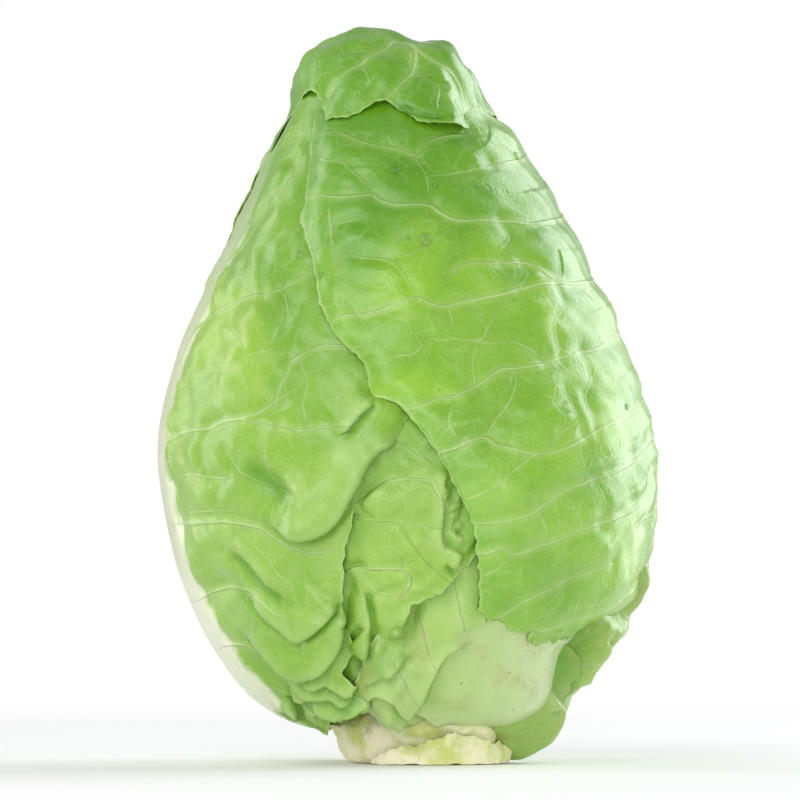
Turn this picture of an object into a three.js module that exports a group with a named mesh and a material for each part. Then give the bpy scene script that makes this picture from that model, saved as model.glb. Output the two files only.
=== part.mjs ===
// A pointed cabbage, cut at the stump and standing on the cut, in millimetres with +Z up.
// x runs to the right and y away from someone who looks at its front. The origin is on the cut face.
// The head is one smooth teardrop. Every leaf is a thin sheet laid over it at its own depth,
// with a rib and pillows between its side veins, and is gathered to a narrow stalk at the stump.
import * as THREE from "three";

// Outline of the whole head from the stump up: height, then its left, right, front and back.
const HEAD_RINGS = [
  [12, -11, 21, -16, 16],
  [12.8, -28, 33, -29, 29],
  [17.5, -40, 41, -39, 38],
  [27, -51.5, 49, -50, 49],
  [45, -63, 60.5, -61, 60],
  [70, -71.5, 69.5, -69, 67],
  [97, -74.5, 72.5, -71, 69],
  [125, -68.5, 65, -65, 64],
  [152, -57, 52.5, -54.5, 53.5],
  [177, -45.5, 38.5, -42.5, 41],
  [194.5, -36, 26, -32, 31],
  [205, -31, 19, -25, 24],
  [211, -24, 11.5, -18, 17],
  [214, -15.5, 2, -9, 9],
  [215, -7, -7, 0, 0],
];

const BLADE = 0.9; // thickness of a leaf away from its rib
const CUT_RADIUS = 24; // of the flat cut face
const STUMP_CENTRE = 5; // the stump stands this far to the right of the head's axis
const CORE_TOP = 80; // height of the stem's end inside the head
const CORE_RADIUS = 13;
const CORE_GAP = 1; // between the stem's core and the heart around it
const HEART_DEPTH = 11.4; // of the heart's surface under the head's outline
const STALK_DEPTH = 0.5; // share of its depth that a layer still has where its stalk meets the stump

const COLOURS = {
  outer: 0x8dba4a,
  pale: 0xb9cf8e,
  inner: 0xa9cb6b,
  heart: 0xd3dfa0,
  stem: 0xdcd8ae,
};

const radians = THREE.MathUtils.degToRad;
const mix = THREE.MathUtils.lerp;
const smooth = THREE.MathUtils.smoothstep;

// Catmull-Rom curve through rows of numbers; place counts rows, so 1.5 is halfway from the second to the third.
function along(rows, place) {
  const i = Math.min(Math.max(Math.floor(place), 0), rows.length - 2);
  const t = place - i;
  const [b, c] = [rows[i], rows[i + 1]];
  const before = rows[i - 1] ?? b.map((value, k) => 2 * value - c[k]);
  const after = rows[i + 2] ?? c.map((value, k) => 2 * value - b[k]);
  return b.map((value, k) => {
    const slope = (c[k] - before[k]) / 2;
    const nextSlope = (after[k] - value) / 2;
    const rise = c[k] - value;
    return value + t * slope + t * t * (3 * rise - 2 * slope - nextSlope) + t ** 3 * (slope + nextSlope - 2 * rise);
  });
}

// The ring past the tip is the last one turned round, so the tip is smooth.
const TIP = HEAD_RINGS.length - 1;
const [lastHeight, lastLeft, lastRight, lastFront, lastBack] = HEAD_RINGS[TIP - 1];
const ringRows = [...HEAD_RINGS, [lastHeight, lastRight, lastLeft, lastBack, lastFront]];

// A point of the head: azimuth is 0 at the front and 90 on the right, climb is 0 at the stump and 1 at the tip.
function onHead(azimuth, climb) {
  const [height, left, right, front, back] = along(ringRows, climb * TIP);
  const turn = radians(azimuth);
  return new THREE.Vector3(
    (left + right) / 2 + ((right - left) / 2) * Math.sin(turn),
    (front + back) / 2 - ((back - front) / 2) * Math.cos(turn),
    height,
  );
}

function climbAt(height) {
  let [low, high] = [0, 1];
  for (let i = 0; i < 30; i += 1) {
    const middle = (low + high) / 2;
    if (along(ringRows, middle * TIP)[0] < height) low = middle;
    else high = middle;
  }
  return (low + high) / 2;
}

// The layers lie closer together towards the stump.
const settled = (depth, height) => depth * mix(STALK_DEPTH, 1, smooth(height, 14, 34));

// Azimuth and height of the point that someone in front sees at x and height.
function seen(x, height) {
  const [, left, right] = along(ringRows, climbAt(height) * TIP);
  const sine = (x - (left + right) / 2) / ((right - left) / 2);
  return [THREE.MathUtils.radToDeg(Math.asin(THREE.MathUtils.clamp(sine, -1, 1))), height];
}

// A leaf's outline is laid out flat, either as azimuth against climb or, for one that crosses the tip,
// as a disc with the tip in its middle.
const LAYOUTS = {
  wrap: {
    flatten: ([azimuth, height]) => [azimuth, climbAt(height)],
    place: ([azimuth, climb]) => onHead(azimuth, climb),
  },
  crown: {
    flatten: ([azimuth, height]) => {
      const reach = 1 - climbAt(height);
      return [reach * Math.sin(radians(azimuth)), -reach * Math.cos(radians(azimuth))];
    },
    place: ([across, back]) =>
      onHead(THREE.MathUtils.radToDeg(Math.atan2(across, -back)), 1 - Math.hypot(across, back)),
  },
};

// Fills four edge curves with a grid. The left and right edges run up, the bottom and top edges run to the right.
function fillEdges({ bottom, top, left, right }, layout, rows, columns) {
  const { flatten, place } = LAYOUTS[layout];
  const edges = [bottom, top, left, right].map((edge) => edge.map(flatten));
  const at = (edge, share) => along(edge, share * (edge.length - 1));
  const [b, t, l, r] = edges;
  const corners = [at(b, 0), at(b, 1), at(t, 0), at(t, 1)];
  return Array.from({ length: rows + 1 }, (_, i) =>
    Array.from({ length: columns + 1 }, (_, j) => {
      const [v, u] = [i / rows, j / columns];
      const [low, high, from, to] = [at(b, u), at(t, u), at(l, v), at(r, v)];
      const flat = [0, 1].map((k) => {
        const corner = (1 - v) * mix(corners[0][k], corners[1][k], u) + v * mix(corners[2][k], corners[3][k], u);
        return mix(low[k], high[k], v) + mix(from[k], to[k], u) - corner;
      });
      return place(flat);
    }),
  );
}

// Outward directions of a grid whose columns run right and rows run up, seen from outside.
function outwards(grid) {
  const clampTo = (list, i) => list[Math.min(Math.max(i, 0), list.length - 1)];
  return grid.map((row, i) =>
    row.map((_, j) => {
      const across = clampTo(row, j + 1).clone().sub(clampTo(row, j - 1));
      const up = clampTo(grid, i + 1)[j].clone().sub(clampTo(grid, i - 1)[j]);
      return across.cross(up).normalize();
    }),
  );
}

function closedGeometry(points, faces) {
  const geometry = new THREE.BufferGeometry();
  geometry.setAttribute("position", new THREE.Float32BufferAttribute(points.flatMap((p) => p.toArray()), 3));
  geometry.setIndex(faces.flat());
  geometry.computeVertexNormals();
  return geometry;
}

// A solid sheet between an outer and an inner grid, both split into the same triangles and closed round the rim.
function sheet(outer, inner) {
  const [rows, columns] = [outer.length, outer[0].length];
  const half = rows * columns;
  const id = (i, j) => i * columns + j;
  const faces = [];
  const quad = (a, b, c, d) => faces.push([a, b, c], [a, c, d]);
  for (let i = 0; i + 1 < rows; i += 1) {
    for (let j = 0; j + 1 < columns; j += 1) {
      const [a, b, c, d] = [id(i, j), id(i, j + 1), id(i + 1, j + 1), id(i + 1, j)];
      quad(a, b, c, d);
      faces.push([a + half, c + half, b + half], [a + half, d + half, c + half]);
    }
  }
  const rim = [];
  for (let j = 0; j + 1 < columns; j += 1) rim.push(id(0, j));
  for (let i = 0; i + 1 < rows; i += 1) rim.push(id(i, columns - 1));
  for (let j = columns - 1; j > 0; j -= 1) rim.push(id(rows - 1, j));
  for (let i = rows - 1; i > 0; i -= 1) rim.push(id(i, 0));
  rim.forEach((a, k) => {
    const b = rim[(k + 1) % rim.length];
    quad(a, a + half, b + half, b);
  });
  return closedGeometry([...outer.flat(), ...inner.flat()], faces);
}

// A closed solid through rings of points that run anticlockwise seen from above, listed from below upwards.
function stacked(rings, bottom, top) {
  const sides = rings[0].length;
  const faces = [];
  const [first, last] = [rings.length * sides, rings.length * sides + 1];
  for (let j = 0; j < sides; j += 1) {
    const next = (j + 1) % sides;
    faces.push([first, next, j]);
    for (let i = 0; i + 1 < rings.length; i += 1) {
      const [a, b] = [i * sides + j, i * sides + next];
      faces.push([a, b, b + sides], [a, b + sides, a + sides]);
    }
    const end = (rings.length - 1) * sides;
    faces.push([last, end + j, end + next]);
  }
  return closedGeometry([...rings.flat(), bottom, top], faces);
}

// Adds up soft folds: each raises, or with a negative height lowers, the sheet along its path.
function foldHeight(point, folds) {
  return folds.reduce((sum, { path, height, width }) => {
    const nearest = Math.min(...path.map((p) => p.distanceTo(point)));
    return sum + height * Math.exp(-((nearest / width) ** 2));
  }, 0);
}

function fold(places, height, width) {
  const samples = 5 * (places.length - 1);
  const path = Array.from({ length: samples + 1 }, (_, i) => {
    const [azimuth, z] = along(places, (i * (places.length - 1)) / samples);
    return onHead(azimuth, climbAt(z));
  });
  return { path, height, width };
}

// depth: how far the leaf's inner face lies outside the head's outline, negative inside it.
// rib: its place across the leaf and its width, both at the stalk and at the far end, and how thick it is.
// pillows: how many swell between the side veins and how high. lift is added at a place across and along the leaf.
function leaf({ edges, layout = "wrap", rows, columns, depth, rib, pillows, folds = [], lift = () => 0 }) {
  const base = fillEdges(edges, layout, rows, columns);
  const out = outwards(base);
  const inner = base.map((row, i) =>
    row.map((point, j) => {
      const [v, u] = [i / rows, j / columns];
      const margin = Math.sin(Math.PI * Math.min(u, 0.5 - Math.abs(u - 0.5), 0.25) * 2);
      const swell = pillows.height * Math.abs(Math.sin(Math.PI * pillows.count * v)) * margin;
      const offset = settled(depth, point.z) + swell + foldHeight(point, folds) + lift(u, v);
      return point.clone().addScaledVector(out[i][j], offset);
    }),
  );
  const outer = inner.map((row, i) =>
    row.map((point, j) => {
      const [v, u] = [i / rows, j / columns];
      const across = Math.exp(-(((u - mix(...rib.at, v)) / mix(...rib.width, v)) ** 2));
      const lengthwise = smooth(v, -0.05, 0.1) * (1 - smooth(v, 0.05, rib.end));
      return point.clone().addScaledVector(out[i][j], BLADE + rib.thick * across * lengthwise);
    }),
  );
  return sheet(outer, inner);
}

// The outer leaf on the right. Its front margin is the long edge that the front shows, and its torn
// lower margin runs back from there to the stalk.
const rightLeaf = leaf({
  rows: 30,
  columns: 22,
  depth: 0,
  rib: { at: [0.87, 0.87], width: [0.12, 0.04], thick: 2.5, end: 0.7 },
  pillows: { count: 8, height: 1.3 },
  edges: {
    bottom: [
      seen(21.6, 45.9), seen(27, 41.5), seen(37, 40), [58, 37.5], [72, 41], [84, 46], [94, 40], [101, 26],
      [107, 13.5], [118, 12.2], [130, 12.2], [142, 12.3],
    ],
    left: [
      seen(21.6, 45.9), seen(21.1, 54.9), seen(20.1, 64.9), seen(19.4, 72), seen(12.6, 86), seen(7.6, 95),
      seen(-1.4, 106), seen(-7.5, 109.4), seen(-11, 110.5), seen(-13.4, 120), seen(-19.4, 126),
      seen(-25.4, 136), seen(-28.4, 150), seen(-32.4, 163), seen(-31.9, 170), seen(-29.9, 183),
      seen(-28.4, 196),
    ],
    right: [
      [142, 12.3], [149, 24], [152, 38], [154, 52], [156, 66], [157, 79], [158, 91], [158, 103],
      [158, 115], [158, 127], [158, 138], [158, 148], [157, 158], [155, 168], [150, 178], [138, 190],
      [115, 203],
    ],
    top: [seen(-28.4, 196), [0, 205], [60, 206.5], [115, 203]],
  },
});

// The outer leaf on the left, with the rolled edge of the window beside it, the deep slanting pleats
// of its lower lobe and the frill under them.
const leftLeaf = leaf({
  rows: 36,
  columns: 22,
  depth: -3,
  rib: { at: [0.5, 0.43], width: [0.35, 0.06], thick: 2.6, end: 0.75 },
  pillows: { count: 8, height: 1.1 },
  folds: [
    fold([seen(-4, 105), seen(-12, 99), seen(-18, 89), seen(-22, 79), seen(-28, 72)], 3.4, 5),
    fold([seen(-42, 72), seen(-33, 70), seen(-24, 71)], -1.2, 3.5),
    fold([seen(-46, 66), seen(-36, 60), seen(-26, 54)], 2, 5),
    fold([seen(-46, 55), seen(-38, 47), seen(-30, 40), seen(-24, 42)], -1.2, 3),
    fold([seen(-48, 50), seen(-39, 40), seen(-30, 34), seen(-22, 38)], 4, 4),
    fold([seen(-48, 42), seen(-38, 33), seen(-29, 27), seen(-22, 30)], -1.2, 3),
    fold([seen(-43, 33), seen(-34, 24), seen(-26, 19), seen(-18, 22)], 4, 4),
  ],
  lift: (u, v) => 1.6 * (1 + Math.sin(16 * Math.PI * v)) * smooth(u, 0.7, 1) * (1 - smooth(v, 0.25, 0.4)),
  edges: {
    bottom: [[-122, 12.3], [-95, 12.2], [-66, 12.4]],
    left: [
      [-122, 12.3], [-128, 18], [-134, 27], [-140, 36], [-146, 46], [-150, 56], [-154, 66], [-158, 76],
      [-160, 86], [-162, 96], [-163, 106], [-164, 116], [-164, 126], [-163, 137], [-160, 149], [-155, 161],
      [-148, 174], [-135, 190], [-120, 202],
    ],
    right: [
      [-66, 12.4], [-48, 13.6], seen(-17, 17), seen(-12, 21), seen(-19, 28), seen(-16, 34), seen(-20, 42),
      seen(-19.5, 53), seen(-19, 64), seen(-16, 75), seen(-15, 84), seen(-10, 93), seen(-3, 99),
      seen(1, 108), [2, 120], [2, 136], [0, 156], [-5, 180], [-12, 203],
    ],
    top: [[-120, 202], [-60, 206], [-12, 203]],
  },
});

// The big leaf behind, whose end folds over the tip and hangs down the front as a hood.
const backLeaf = leaf({
  layout: "crown",
  rows: 30,
  columns: 16,
  depth: 4.1,
  rib: { at: [0.5, 0.5], width: [0.35, 0.05], thick: 3, end: 0.6 },
  pillows: { count: 8, height: 1.2 },
  edges: {
    bottom: [[158, 12.3], [180, 12.2], [202, 12.3]],
    left: [
      [158, 12.3], [152, 26], [146, 42], [140, 60], [134, 80], [129, 100], [124, 120], [119, 138],
      [113, 154], [107, 168], [101, 181], [91, 192], [72, 194.5], [53, 194], [40, 189.3],
    ],
    right: [
      [202, 12.3], [209, 26], [216, 42], [223, 60], [230, 80], [236, 100], [242, 120], [248, 138],
      [255, 154], [262, 169], [268, 183], [276, 194], [292, 199.5], [311, 200], [325, 191.4],
    ],
    top: [
      [40, 189.3], [32, 189.4], [22, 189.5], [12, 190.5], [3, 195], [-5, 196.5], [-14, 194], [-24, 191.8],
      [-35, 191.4],
    ],
  },
});

// The leaf that shows in the window between the two outer ones.
const middleLeaf = leaf({
  rows: 15,
  columns: 12,
  depth: -6.4,
  rib: { at: [0.5, 0.4], width: [0.4, 0.1], thick: 0.8, end: 0.6 },
  pillows: { count: 6, height: 0.5 },
  edges: {
    bottom: [[-58, 12.5], [-48, 12.4], [-38, 12.5]],
    left: [
      [-58, 12.5], [-70, 25], [-78, 40], [-78, 55], [-78, 70], [-74, 85], [-68, 100], [-60, 115], [-50, 128],
      [-40, 140],
    ],
    right: [
      [-38, 12.5], seen(-20, 20), seen(-12, 29), seen(-6, 36), seen(2, 43), seen(10, 51), seen(19, 60),
      [27, 80], [30, 100], [24, 125],
    ],
    top: [[-40, 140], [-10, 138], [24, 125]],
  },
});

// The leaf whose white stalk swells out at the lower right.
const frontLeaf = leaf({
  rows: 15,
  columns: 14,
  depth: -9.3,
  rib: { at: [0.6, 0.6], width: [0.5, 0.3], thick: 4, end: 0.62 },
  pillows: { count: 5, height: 0.4 },
  edges: {
    bottom: [[0, 12.5], [32, 12.4], [60, 12.5]],
    left: [[0, 12.5], [-18, 16], [-24, 24], [-26, 35], [-25, 50], [-22, 66], [-20, 82], [-15, 98]],
    right: [[60, 12.5], [66, 18], [70, 27], [72, 38], [72, 51], [72, 66], [68, 82], [60, 98]],
    top: [[-15, 98], [22, 102], [60, 98]],
  },
});

// What is left of a torn outer leaf, standing off at the lower right.
const tornLeaf = leaf({
  rows: 24,
  columns: 7,
  depth: 3.4,
  rib: { at: [0.7, 0.7], width: [0.35, 0.35], thick: 0.8, end: 0.7 },
  pillows: { count: 5, height: 0.6 },
  lift: (u, v) => 4.2 * smooth(v, 0, 0.12) * (1 - smooth(v, 0.3, 0.9)),
  edges: {
    bottom: [[72, 12.4], [86, 12.3], [100, 12.4]],
    left: [
      [72, 12.4], [66, 14], [57, 15], [60, 20], [59, 24], [66, 27], [68, 32], [76, 37], [78, 43], [84, 52],
      [86, 62], [90, 76], [93, 93],
    ],
    right: [
      [100, 12.4], [102, 15], [104, 18], [105, 22], [105, 28], [105, 34], [104, 41], [104, 49], [103, 58],
      [102, 68], [101, 79], [100, 90], [99, 99],
    ],
    top: [[93, 93], [96, 98], [99, 99]],
  },
});

// The stem: a flat cut, a short stump that stands higher at the front and has leaf scars round it, and the core
// that it sends up into the head.
function stemSolid() {
  const sides = 32;
  // radius, height behind, height at the front, depth of the scars
  const profile = [
    [CUT_RADIUS, 0, 0, 0], [CUT_RADIUS + 1.6, 1.6, 1.6, 1], [CUT_RADIUS + 0.6, 4.2, 8.5, 1], [19, 6.8, 12.6, 0.4],
    [CORE_RADIUS, 9, 16.5, 0], [CORE_RADIUS, 30, 30, 0], [CORE_RADIUS - 2, 52, 52, 0],
    [CORE_RADIUS - 5.5, 70, 70, 0],
  ];
  const rings = profile.map(([radius, back, front, scars]) =>
    Array.from({ length: sides }, (_, j) => {
      const turn = (2 * Math.PI * j) / sides;
      const reach = radius + scars * (0.7 * Math.sin(5 * turn) + 0.5 * Math.sin(8 * turn + 1));
      const height = mix(back, front, smooth(-Math.sin(turn), 0.1, 0.7));
      return new THREE.Vector3(STUMP_CENTRE + reach * Math.cos(turn), reach * Math.sin(turn), height);
    }),
  );
  const axis = (height) => new THREE.Vector3(STUMP_CENTRE, 0, height);
  return stacked(rings, axis(0), axis(CORE_TOP));
}

// The heart: the packed inner leaves as one head, each margin a step that winds up to the tip, and open below for the core.
function heartSolid() {
  const [sides, levels, wraps] = [40, 16, 5];
  const socketRadius = CORE_RADIUS + CORE_GAP;
  const socket = [[0.4, CORE_TOP + CORE_GAP + 1], [socketRadius - 4, 73], [socketRadius, 50], [socketRadius, 20]];
  const socketRings = socket.map(([radius, height]) =>
    Array.from({ length: sides }, (_, j) => {
      const turn = radians((360 * j) / sides - 90);
      return new THREE.Vector3(
        STUMP_CENTRE + radius * Math.cos(turn), radius * Math.sin(turn), height);
    }),
  );
  const shellRings = Array.from({ length: levels }, (_, i) => {
    const climb = mix(0.1, 0.98, i / (levels - 1));
    return Array.from({ length: sides }, (_, j) => {
      const azimuth = (360 * j) / sides;
      const out = headNormal(azimuth, climb);
      const step = ((wraps * azimuth) / 360 + 1.2 * climb) % 1;
      const point = onHead(azimuth, climb);
      return point.addScaledVector(out, settled(-HEART_DEPTH, point.z) - 0.8 * step);
    });
  });
  const tip = onHead(0, 1).add(new THREE.Vector3(0, 0, -HEART_DEPTH));
  const roof = new THREE.Vector3(STUMP_CENTRE, 0, CORE_TOP + CORE_GAP + 2);
  return stacked([...socketRings, ...shellRings], roof, tip);
}

function headNormal(azimuth, climb) {
  const across = onHead(azimuth + 1, climb).sub(onHead(azimuth - 1, climb));
  const up = onHead(azimuth, climb + 0.01).sub(onHead(azimuth, climb - 0.01));
  return across.cross(up).normalize();
}

// The curled stub of a stalk that was cut away, hanging like a lip at the front of the stump.
function stubSolid() {
  const [rows, columns] = [4, 18];
  const [from, to] = [-22, 62]; // azimuths round the stump
  const grid = (extra) =>
    Array.from({ length: rows + 1 }, (_, i) =>
      Array.from({ length: columns + 1 }, (_, j) => {
        const [v, u] = [i / rows, j / columns];
        const turn = radians(mix(from, to, u));
        const wave = Math.sin(3.2 * Math.PI * u) * (1 - v);
        const radius = CUT_RADIUS + 3.4 + 2.2 * (1 - v) ** 2 + 1.4 * wave + extra;
        const height = 0.5 + 6.4 * v + 0.9 * (1 + Math.sin(4.5 * Math.PI * u)) * (1 - v);
        return new THREE.Vector3(STUMP_CENTRE + radius * Math.sin(turn), -radius * Math.cos(turn), height);
      }),
    );
  return sheet(grid(1.3), grid(0));
}

function piece(name, geometry, color, roughness = 0.45) {
  const mesh = new THREE.Mesh(geometry, new THREE.MeshStandardMaterial({ color, roughness, metalness: 0 }));
  mesh.name = name;
  return mesh;
}

const cabbage = new THREE.Group();
cabbage.add(
  piece("stem", stemSolid(), COLOURS.stem, 0.7),
  piece("stalk_stub", stubSolid(), COLOURS.stem, 0.6),
  piece("heart", heartSolid(), COLOURS.heart),
  piece("leaf_front", frontLeaf, COLOURS.pale),
  piece("leaf_middle", middleLeaf, COLOURS.inner),
  piece("leaf_left", leftLeaf, COLOURS.inner),
  piece("leaf_right", rightLeaf, COLOURS.outer),
  piece("leaf_back", backLeaf, COLOURS.outer),
  piece("leaf_torn", tornLeaf, COLOURS.outer),
);

export default cabbage;
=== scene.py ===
"""A pointed cabbage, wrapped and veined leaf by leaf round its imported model."""

import math

import bpy
import numpy as np
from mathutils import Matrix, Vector, bvhtree, kdtree


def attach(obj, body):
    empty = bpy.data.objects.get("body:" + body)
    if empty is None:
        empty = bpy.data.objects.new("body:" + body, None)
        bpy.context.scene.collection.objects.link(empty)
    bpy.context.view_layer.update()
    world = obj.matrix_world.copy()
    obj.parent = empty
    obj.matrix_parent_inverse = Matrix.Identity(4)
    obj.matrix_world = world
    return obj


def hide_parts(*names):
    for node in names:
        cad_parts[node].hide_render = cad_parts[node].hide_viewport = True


bl_info = {
    "name": "Pointed Cabbage",
    "version": (1, 0, 0),
    "blender": (4, 5, 0),
    "location": "View3D > Sidebar > Cabbage",
    "description": "Makes a pointed cabbage: veined leaves wrapped round a heart, on a cut stump",
    "category": "Add Mesh",
}

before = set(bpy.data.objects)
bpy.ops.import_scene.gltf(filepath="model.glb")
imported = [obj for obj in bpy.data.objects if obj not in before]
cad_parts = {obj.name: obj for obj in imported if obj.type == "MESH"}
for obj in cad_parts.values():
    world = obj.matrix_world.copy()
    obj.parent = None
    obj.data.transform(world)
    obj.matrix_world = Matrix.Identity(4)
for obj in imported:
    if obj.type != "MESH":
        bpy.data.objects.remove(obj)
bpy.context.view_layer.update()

MM = 0.001  # metres in a millimetre; all shapes below are in millimetres until they become a mesh

# The head's form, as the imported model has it: height, then left, right, front and back.

HEAD_RINGS = np.array([
    [12, -11, 21, -16, 16],
    [12.8, -28, 33, -29, 29],
    [17.5, -40, 41, -39, 38],
    [27, -51.5, 49, -50, 49],
    [45, -63, 60.5, -61, 60],
    [70, -71.5, 69.5, -69, 67],
    [97, -74.5, 72.5, -71, 69],
    [125, -68.5, 65, -65, 64],
    [152, -57, 52.5, -54.5, 53.5],
    [177, -45.5, 38.5, -42.5, 41],
    [194.5, -36, 26, -32, 31],
    [205, -31, 19, -25, 24],
    [211, -24, 11.5, -18, 17],
    [214, -15.5, 2, -9, 9],
    [215, -7, -7, 0, 0],
])
TIP = len(HEAD_RINGS) - 1
RING_ROWS = np.vstack([HEAD_RINGS, HEAD_RINGS[-2, [0, 2, 1, 4, 3]]])

STUMP_CENTRE = 5
CUT_RADIUS = 24
CORE_TOP = 80
CORE_RADIUS = 13

# How far the layers lie under the head's form.
LEFT_DEPTH = 2.4
MIDDLE_DEPTH = 4.6
FRONT_DEPTH = 6.8
HEART_DEPTH = 11.4


def mix(low, high, share):
    return low + (high - low) * share


def mixed(under, over, share):
    """A colour between two others."""
    return tuple(mix(a, b, share) for a, b in zip(under, over))


def darker(colour, share):
    return tuple(share * c for c in colour)


def smooth(value, low, high):
    t = np.clip((value - low) / (high - low), 0, 1)
    return t * t * (3 - 2 * t)


def bell(value, width):
    return np.exp(-((value / width) ** 2))


def along(rows, place):
    """Catmull-Rom curve through rows of numbers; place counts rows."""
    rows, place = np.asarray(rows, float), np.asarray(place, float)
    last = len(rows) - 1
    i = np.clip(np.floor(place).astype(int), 0, last - 1)
    t = (place - i)[..., None]
    b, c = rows[i], rows[i + 1]
    before = np.where((i > 0)[..., None], rows[np.maximum(i - 1, 0)], 2 * b - c)
    after = np.where((i + 2 <= last)[..., None], rows[np.minimum(i + 2, last)], 2 * c - b)
    slope, next_slope, rise = (c - before) / 2, (after - b) / 2, c - b
    bend = 3 * rise - 2 * slope - next_slope
    twist = slope + next_slope - 2 * rise
    return b + t * slope + t**2 * bend + t**3 * twist


CLIMBS = np.linspace(0, 1, 4001)
CLIMB_HEIGHTS = along(RING_ROWS, CLIMBS * TIP)[:, 0]


def climb_at(height):
    return np.interp(height, CLIMB_HEIGHTS, CLIMBS)


def on_head(azimuth, climb):
    """Azimuth is 0 at the front and 90 on the right; climb is 0 at the stump and 1 at the tip."""
    height, left, right, front, back = np.moveaxis(along(RING_ROWS, climb * TIP), -1, 0)
    turn = np.radians(azimuth)
    x = (left + right) / 2 + (right - left) / 2 * np.sin(turn)
    y = (front + back) / 2 - (back - front) / 2 * np.cos(turn)
    return np.stack([x, y, height], -1)


def seen(places):
    """Azimuth and height of the places that someone in front sees at (x, height)."""
    x, height = np.array(places, float).T
    _, left, right, _, _ = along(RING_ROWS, climb_at(height) * TIP).T
    sine = (x - (left + right) / 2) / ((right - left) / 2)
    return np.column_stack([np.degrees(np.arcsin(np.clip(sine, -1, 1))), height])


def seen_all(paths):
    return [seen(path) for path in paths]


def seen_on_hood(places):
    """The same for the hood, which stands a few millimetres off the head's form."""
    x, height = np.array(places, float).T
    return seen(np.column_stack([mix(-6, x, 0.86), height - 4 * smooth(height, 196, 216)]))


def settled(depth, height):
    """The layers lie closer together towards the stump."""
    return depth * mix(0.5, 1, smooth(height, 14, 34))


def wrap_flat(places):
    places = np.array(places, float)
    return np.column_stack([places[:, 0], climb_at(places[:, 1])])


def wrap_place(flat):
    return on_head(flat[..., 0], flat[..., 1])


def crown_flat(places):
    places = np.array(places, float)
    reach, turn = 1 - climb_at(places[:, 1]), np.radians(places[:, 0])
    return np.column_stack([reach * np.sin(turn), -reach * np.cos(turn)])


def crown_place(flat):
    across, back = flat[..., 0], flat[..., 1]
    return on_head(np.degrees(np.arctan2(across, -back)), 1 - np.hypot(across, back))


LAYOUTS = {"wrap": (wrap_flat, wrap_place), "crown": (crown_flat, crown_place)}


def unit(vectors):
    return vectors / np.maximum(np.linalg.norm(vectors, axis=-1, keepdims=True), 1e-9)


def ripples(points, length, seed):
    """Smooth uneven ground, about -1 to 1, with hills about a length apart."""
    waves = 14
    draw = np.random.default_rng(seed)
    ways = unit(draw.normal(size=(waves, 3)))
    ways = ways * draw.uniform(0.6, 1.4, (waves, 1)) * 2 * math.pi / length
    phases = draw.uniform(0, 2 * math.pi, waves)
    return np.sin(points @ ways.T + phases).sum(-1) / math.sqrt(waves)


# Lines on the head: veins, folds and margins.


def spot_tree(spots):
    tree = kdtree.KDTree(len(spots))
    for index, spot in enumerate(spots.tolist()):
        tree.insert(spot, index)
    tree.balance()
    return tree


class Lines:
    """Lines laid on the head, which tell how far from the nearest one a point is and on which side.

    A path is a list of places, or a pair of such a list and the line's sizes at its start and end.
    The side is positive on the right of a line for someone outside who looks along it.
    """

    SPACING = 0.5  # between the spots that a line is made of

    def __init__(self, paths, layout="wrap"):
        flatten, place = LAYOUTS[layout]
        spots, rights, sizes, starts, ends = [], [], [], [], []
        for path in paths:
            places, size = path if isinstance(path, tuple) else (path, (1, 1))
            flat = flatten(places)
            rough = along(flat, np.linspace(0, len(flat) - 1, 12 * len(flat)))
            steps = np.linalg.norm(np.diff(place(rough), axis=0), axis=1)
            length = np.concatenate([[0], np.cumsum(steps)])
            count = max(int(length[-1] / self.SPACING), 3)
            run = np.linspace(0, length[-1], count)
            fine = along(flat, np.interp(run, length, np.linspace(0, len(flat) - 1, len(rough))))
            spot = place(fine)
            across = place(fine + [1e-3, 0]) - place(fine - [1e-3, 0])
            up = place(fine + [0, 1e-3]) - place(fine - [0, 1e-3])
            normal = unit(np.cross(across, up))
            spots.append(spot)
            rights.append(unit(np.cross(np.gradient(spot, axis=0), normal)))
            sizes.append(mix(size[0], size[1], run / length[-1]))
            starts.append(run)
            ends.append(length[-1] - run)
        self.spots, self.rights = np.vstack(spots), np.vstack(rights)
        self.sizes, self.starts, self.ends = (np.concatenate(each) for each in (sizes, starts, ends))
        self.tree = spot_tree(self.spots)

    def measure(self, points):
        """Signed side, reach, and the index of the nearest spot, for a grid of points."""
        shape = points.shape[:-1]
        flat = points.reshape(-1, 3)
        find = self.tree.find
        index = np.array([find(point)[1] for point in flat.tolist()])
        gap = flat - self.spots[index]
        side = np.einsum("ij,ij->i", gap, self.rights[index])
        return side.reshape(shape), np.linalg.norm(gap, axis=1).reshape(shape), index.reshape(shape)


LINK_SIZES = (0.8, 0.4)  # at the start and the end of a cross vein


def links(ribs, gap, seed):
    """Cross veins: short wavering lines from each rib to the next one in the list."""
    draw = np.random.default_rng(seed)
    made = []
    for low, high in zip(ribs, ribs[1:]):
        low, high = np.array(low, float), np.array(high, float)
        count = max(int(abs(low[-1, 0] - low[0, 0]) / gap), 1)
        for k in range(count):
            share = (k + draw.uniform(0.25, 0.75)) / count
            start = along(low, share * (len(low) - 1))
            end = along(high, np.clip(share + draw.uniform(-0.12, 0.12), 0, 1) * (len(high) - 1))
            reach = draw.uniform(0.45, 1)
            bend = [draw.uniform(-3, 3), draw.uniform(-2, 2)]
            path = np.array([start, mix(start, end, reach / 2) + bend, mix(start, end, reach)])
            made.append((path, LINK_SIZES))
    return made


# Sheets: a leaf while it is being shaped.


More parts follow.
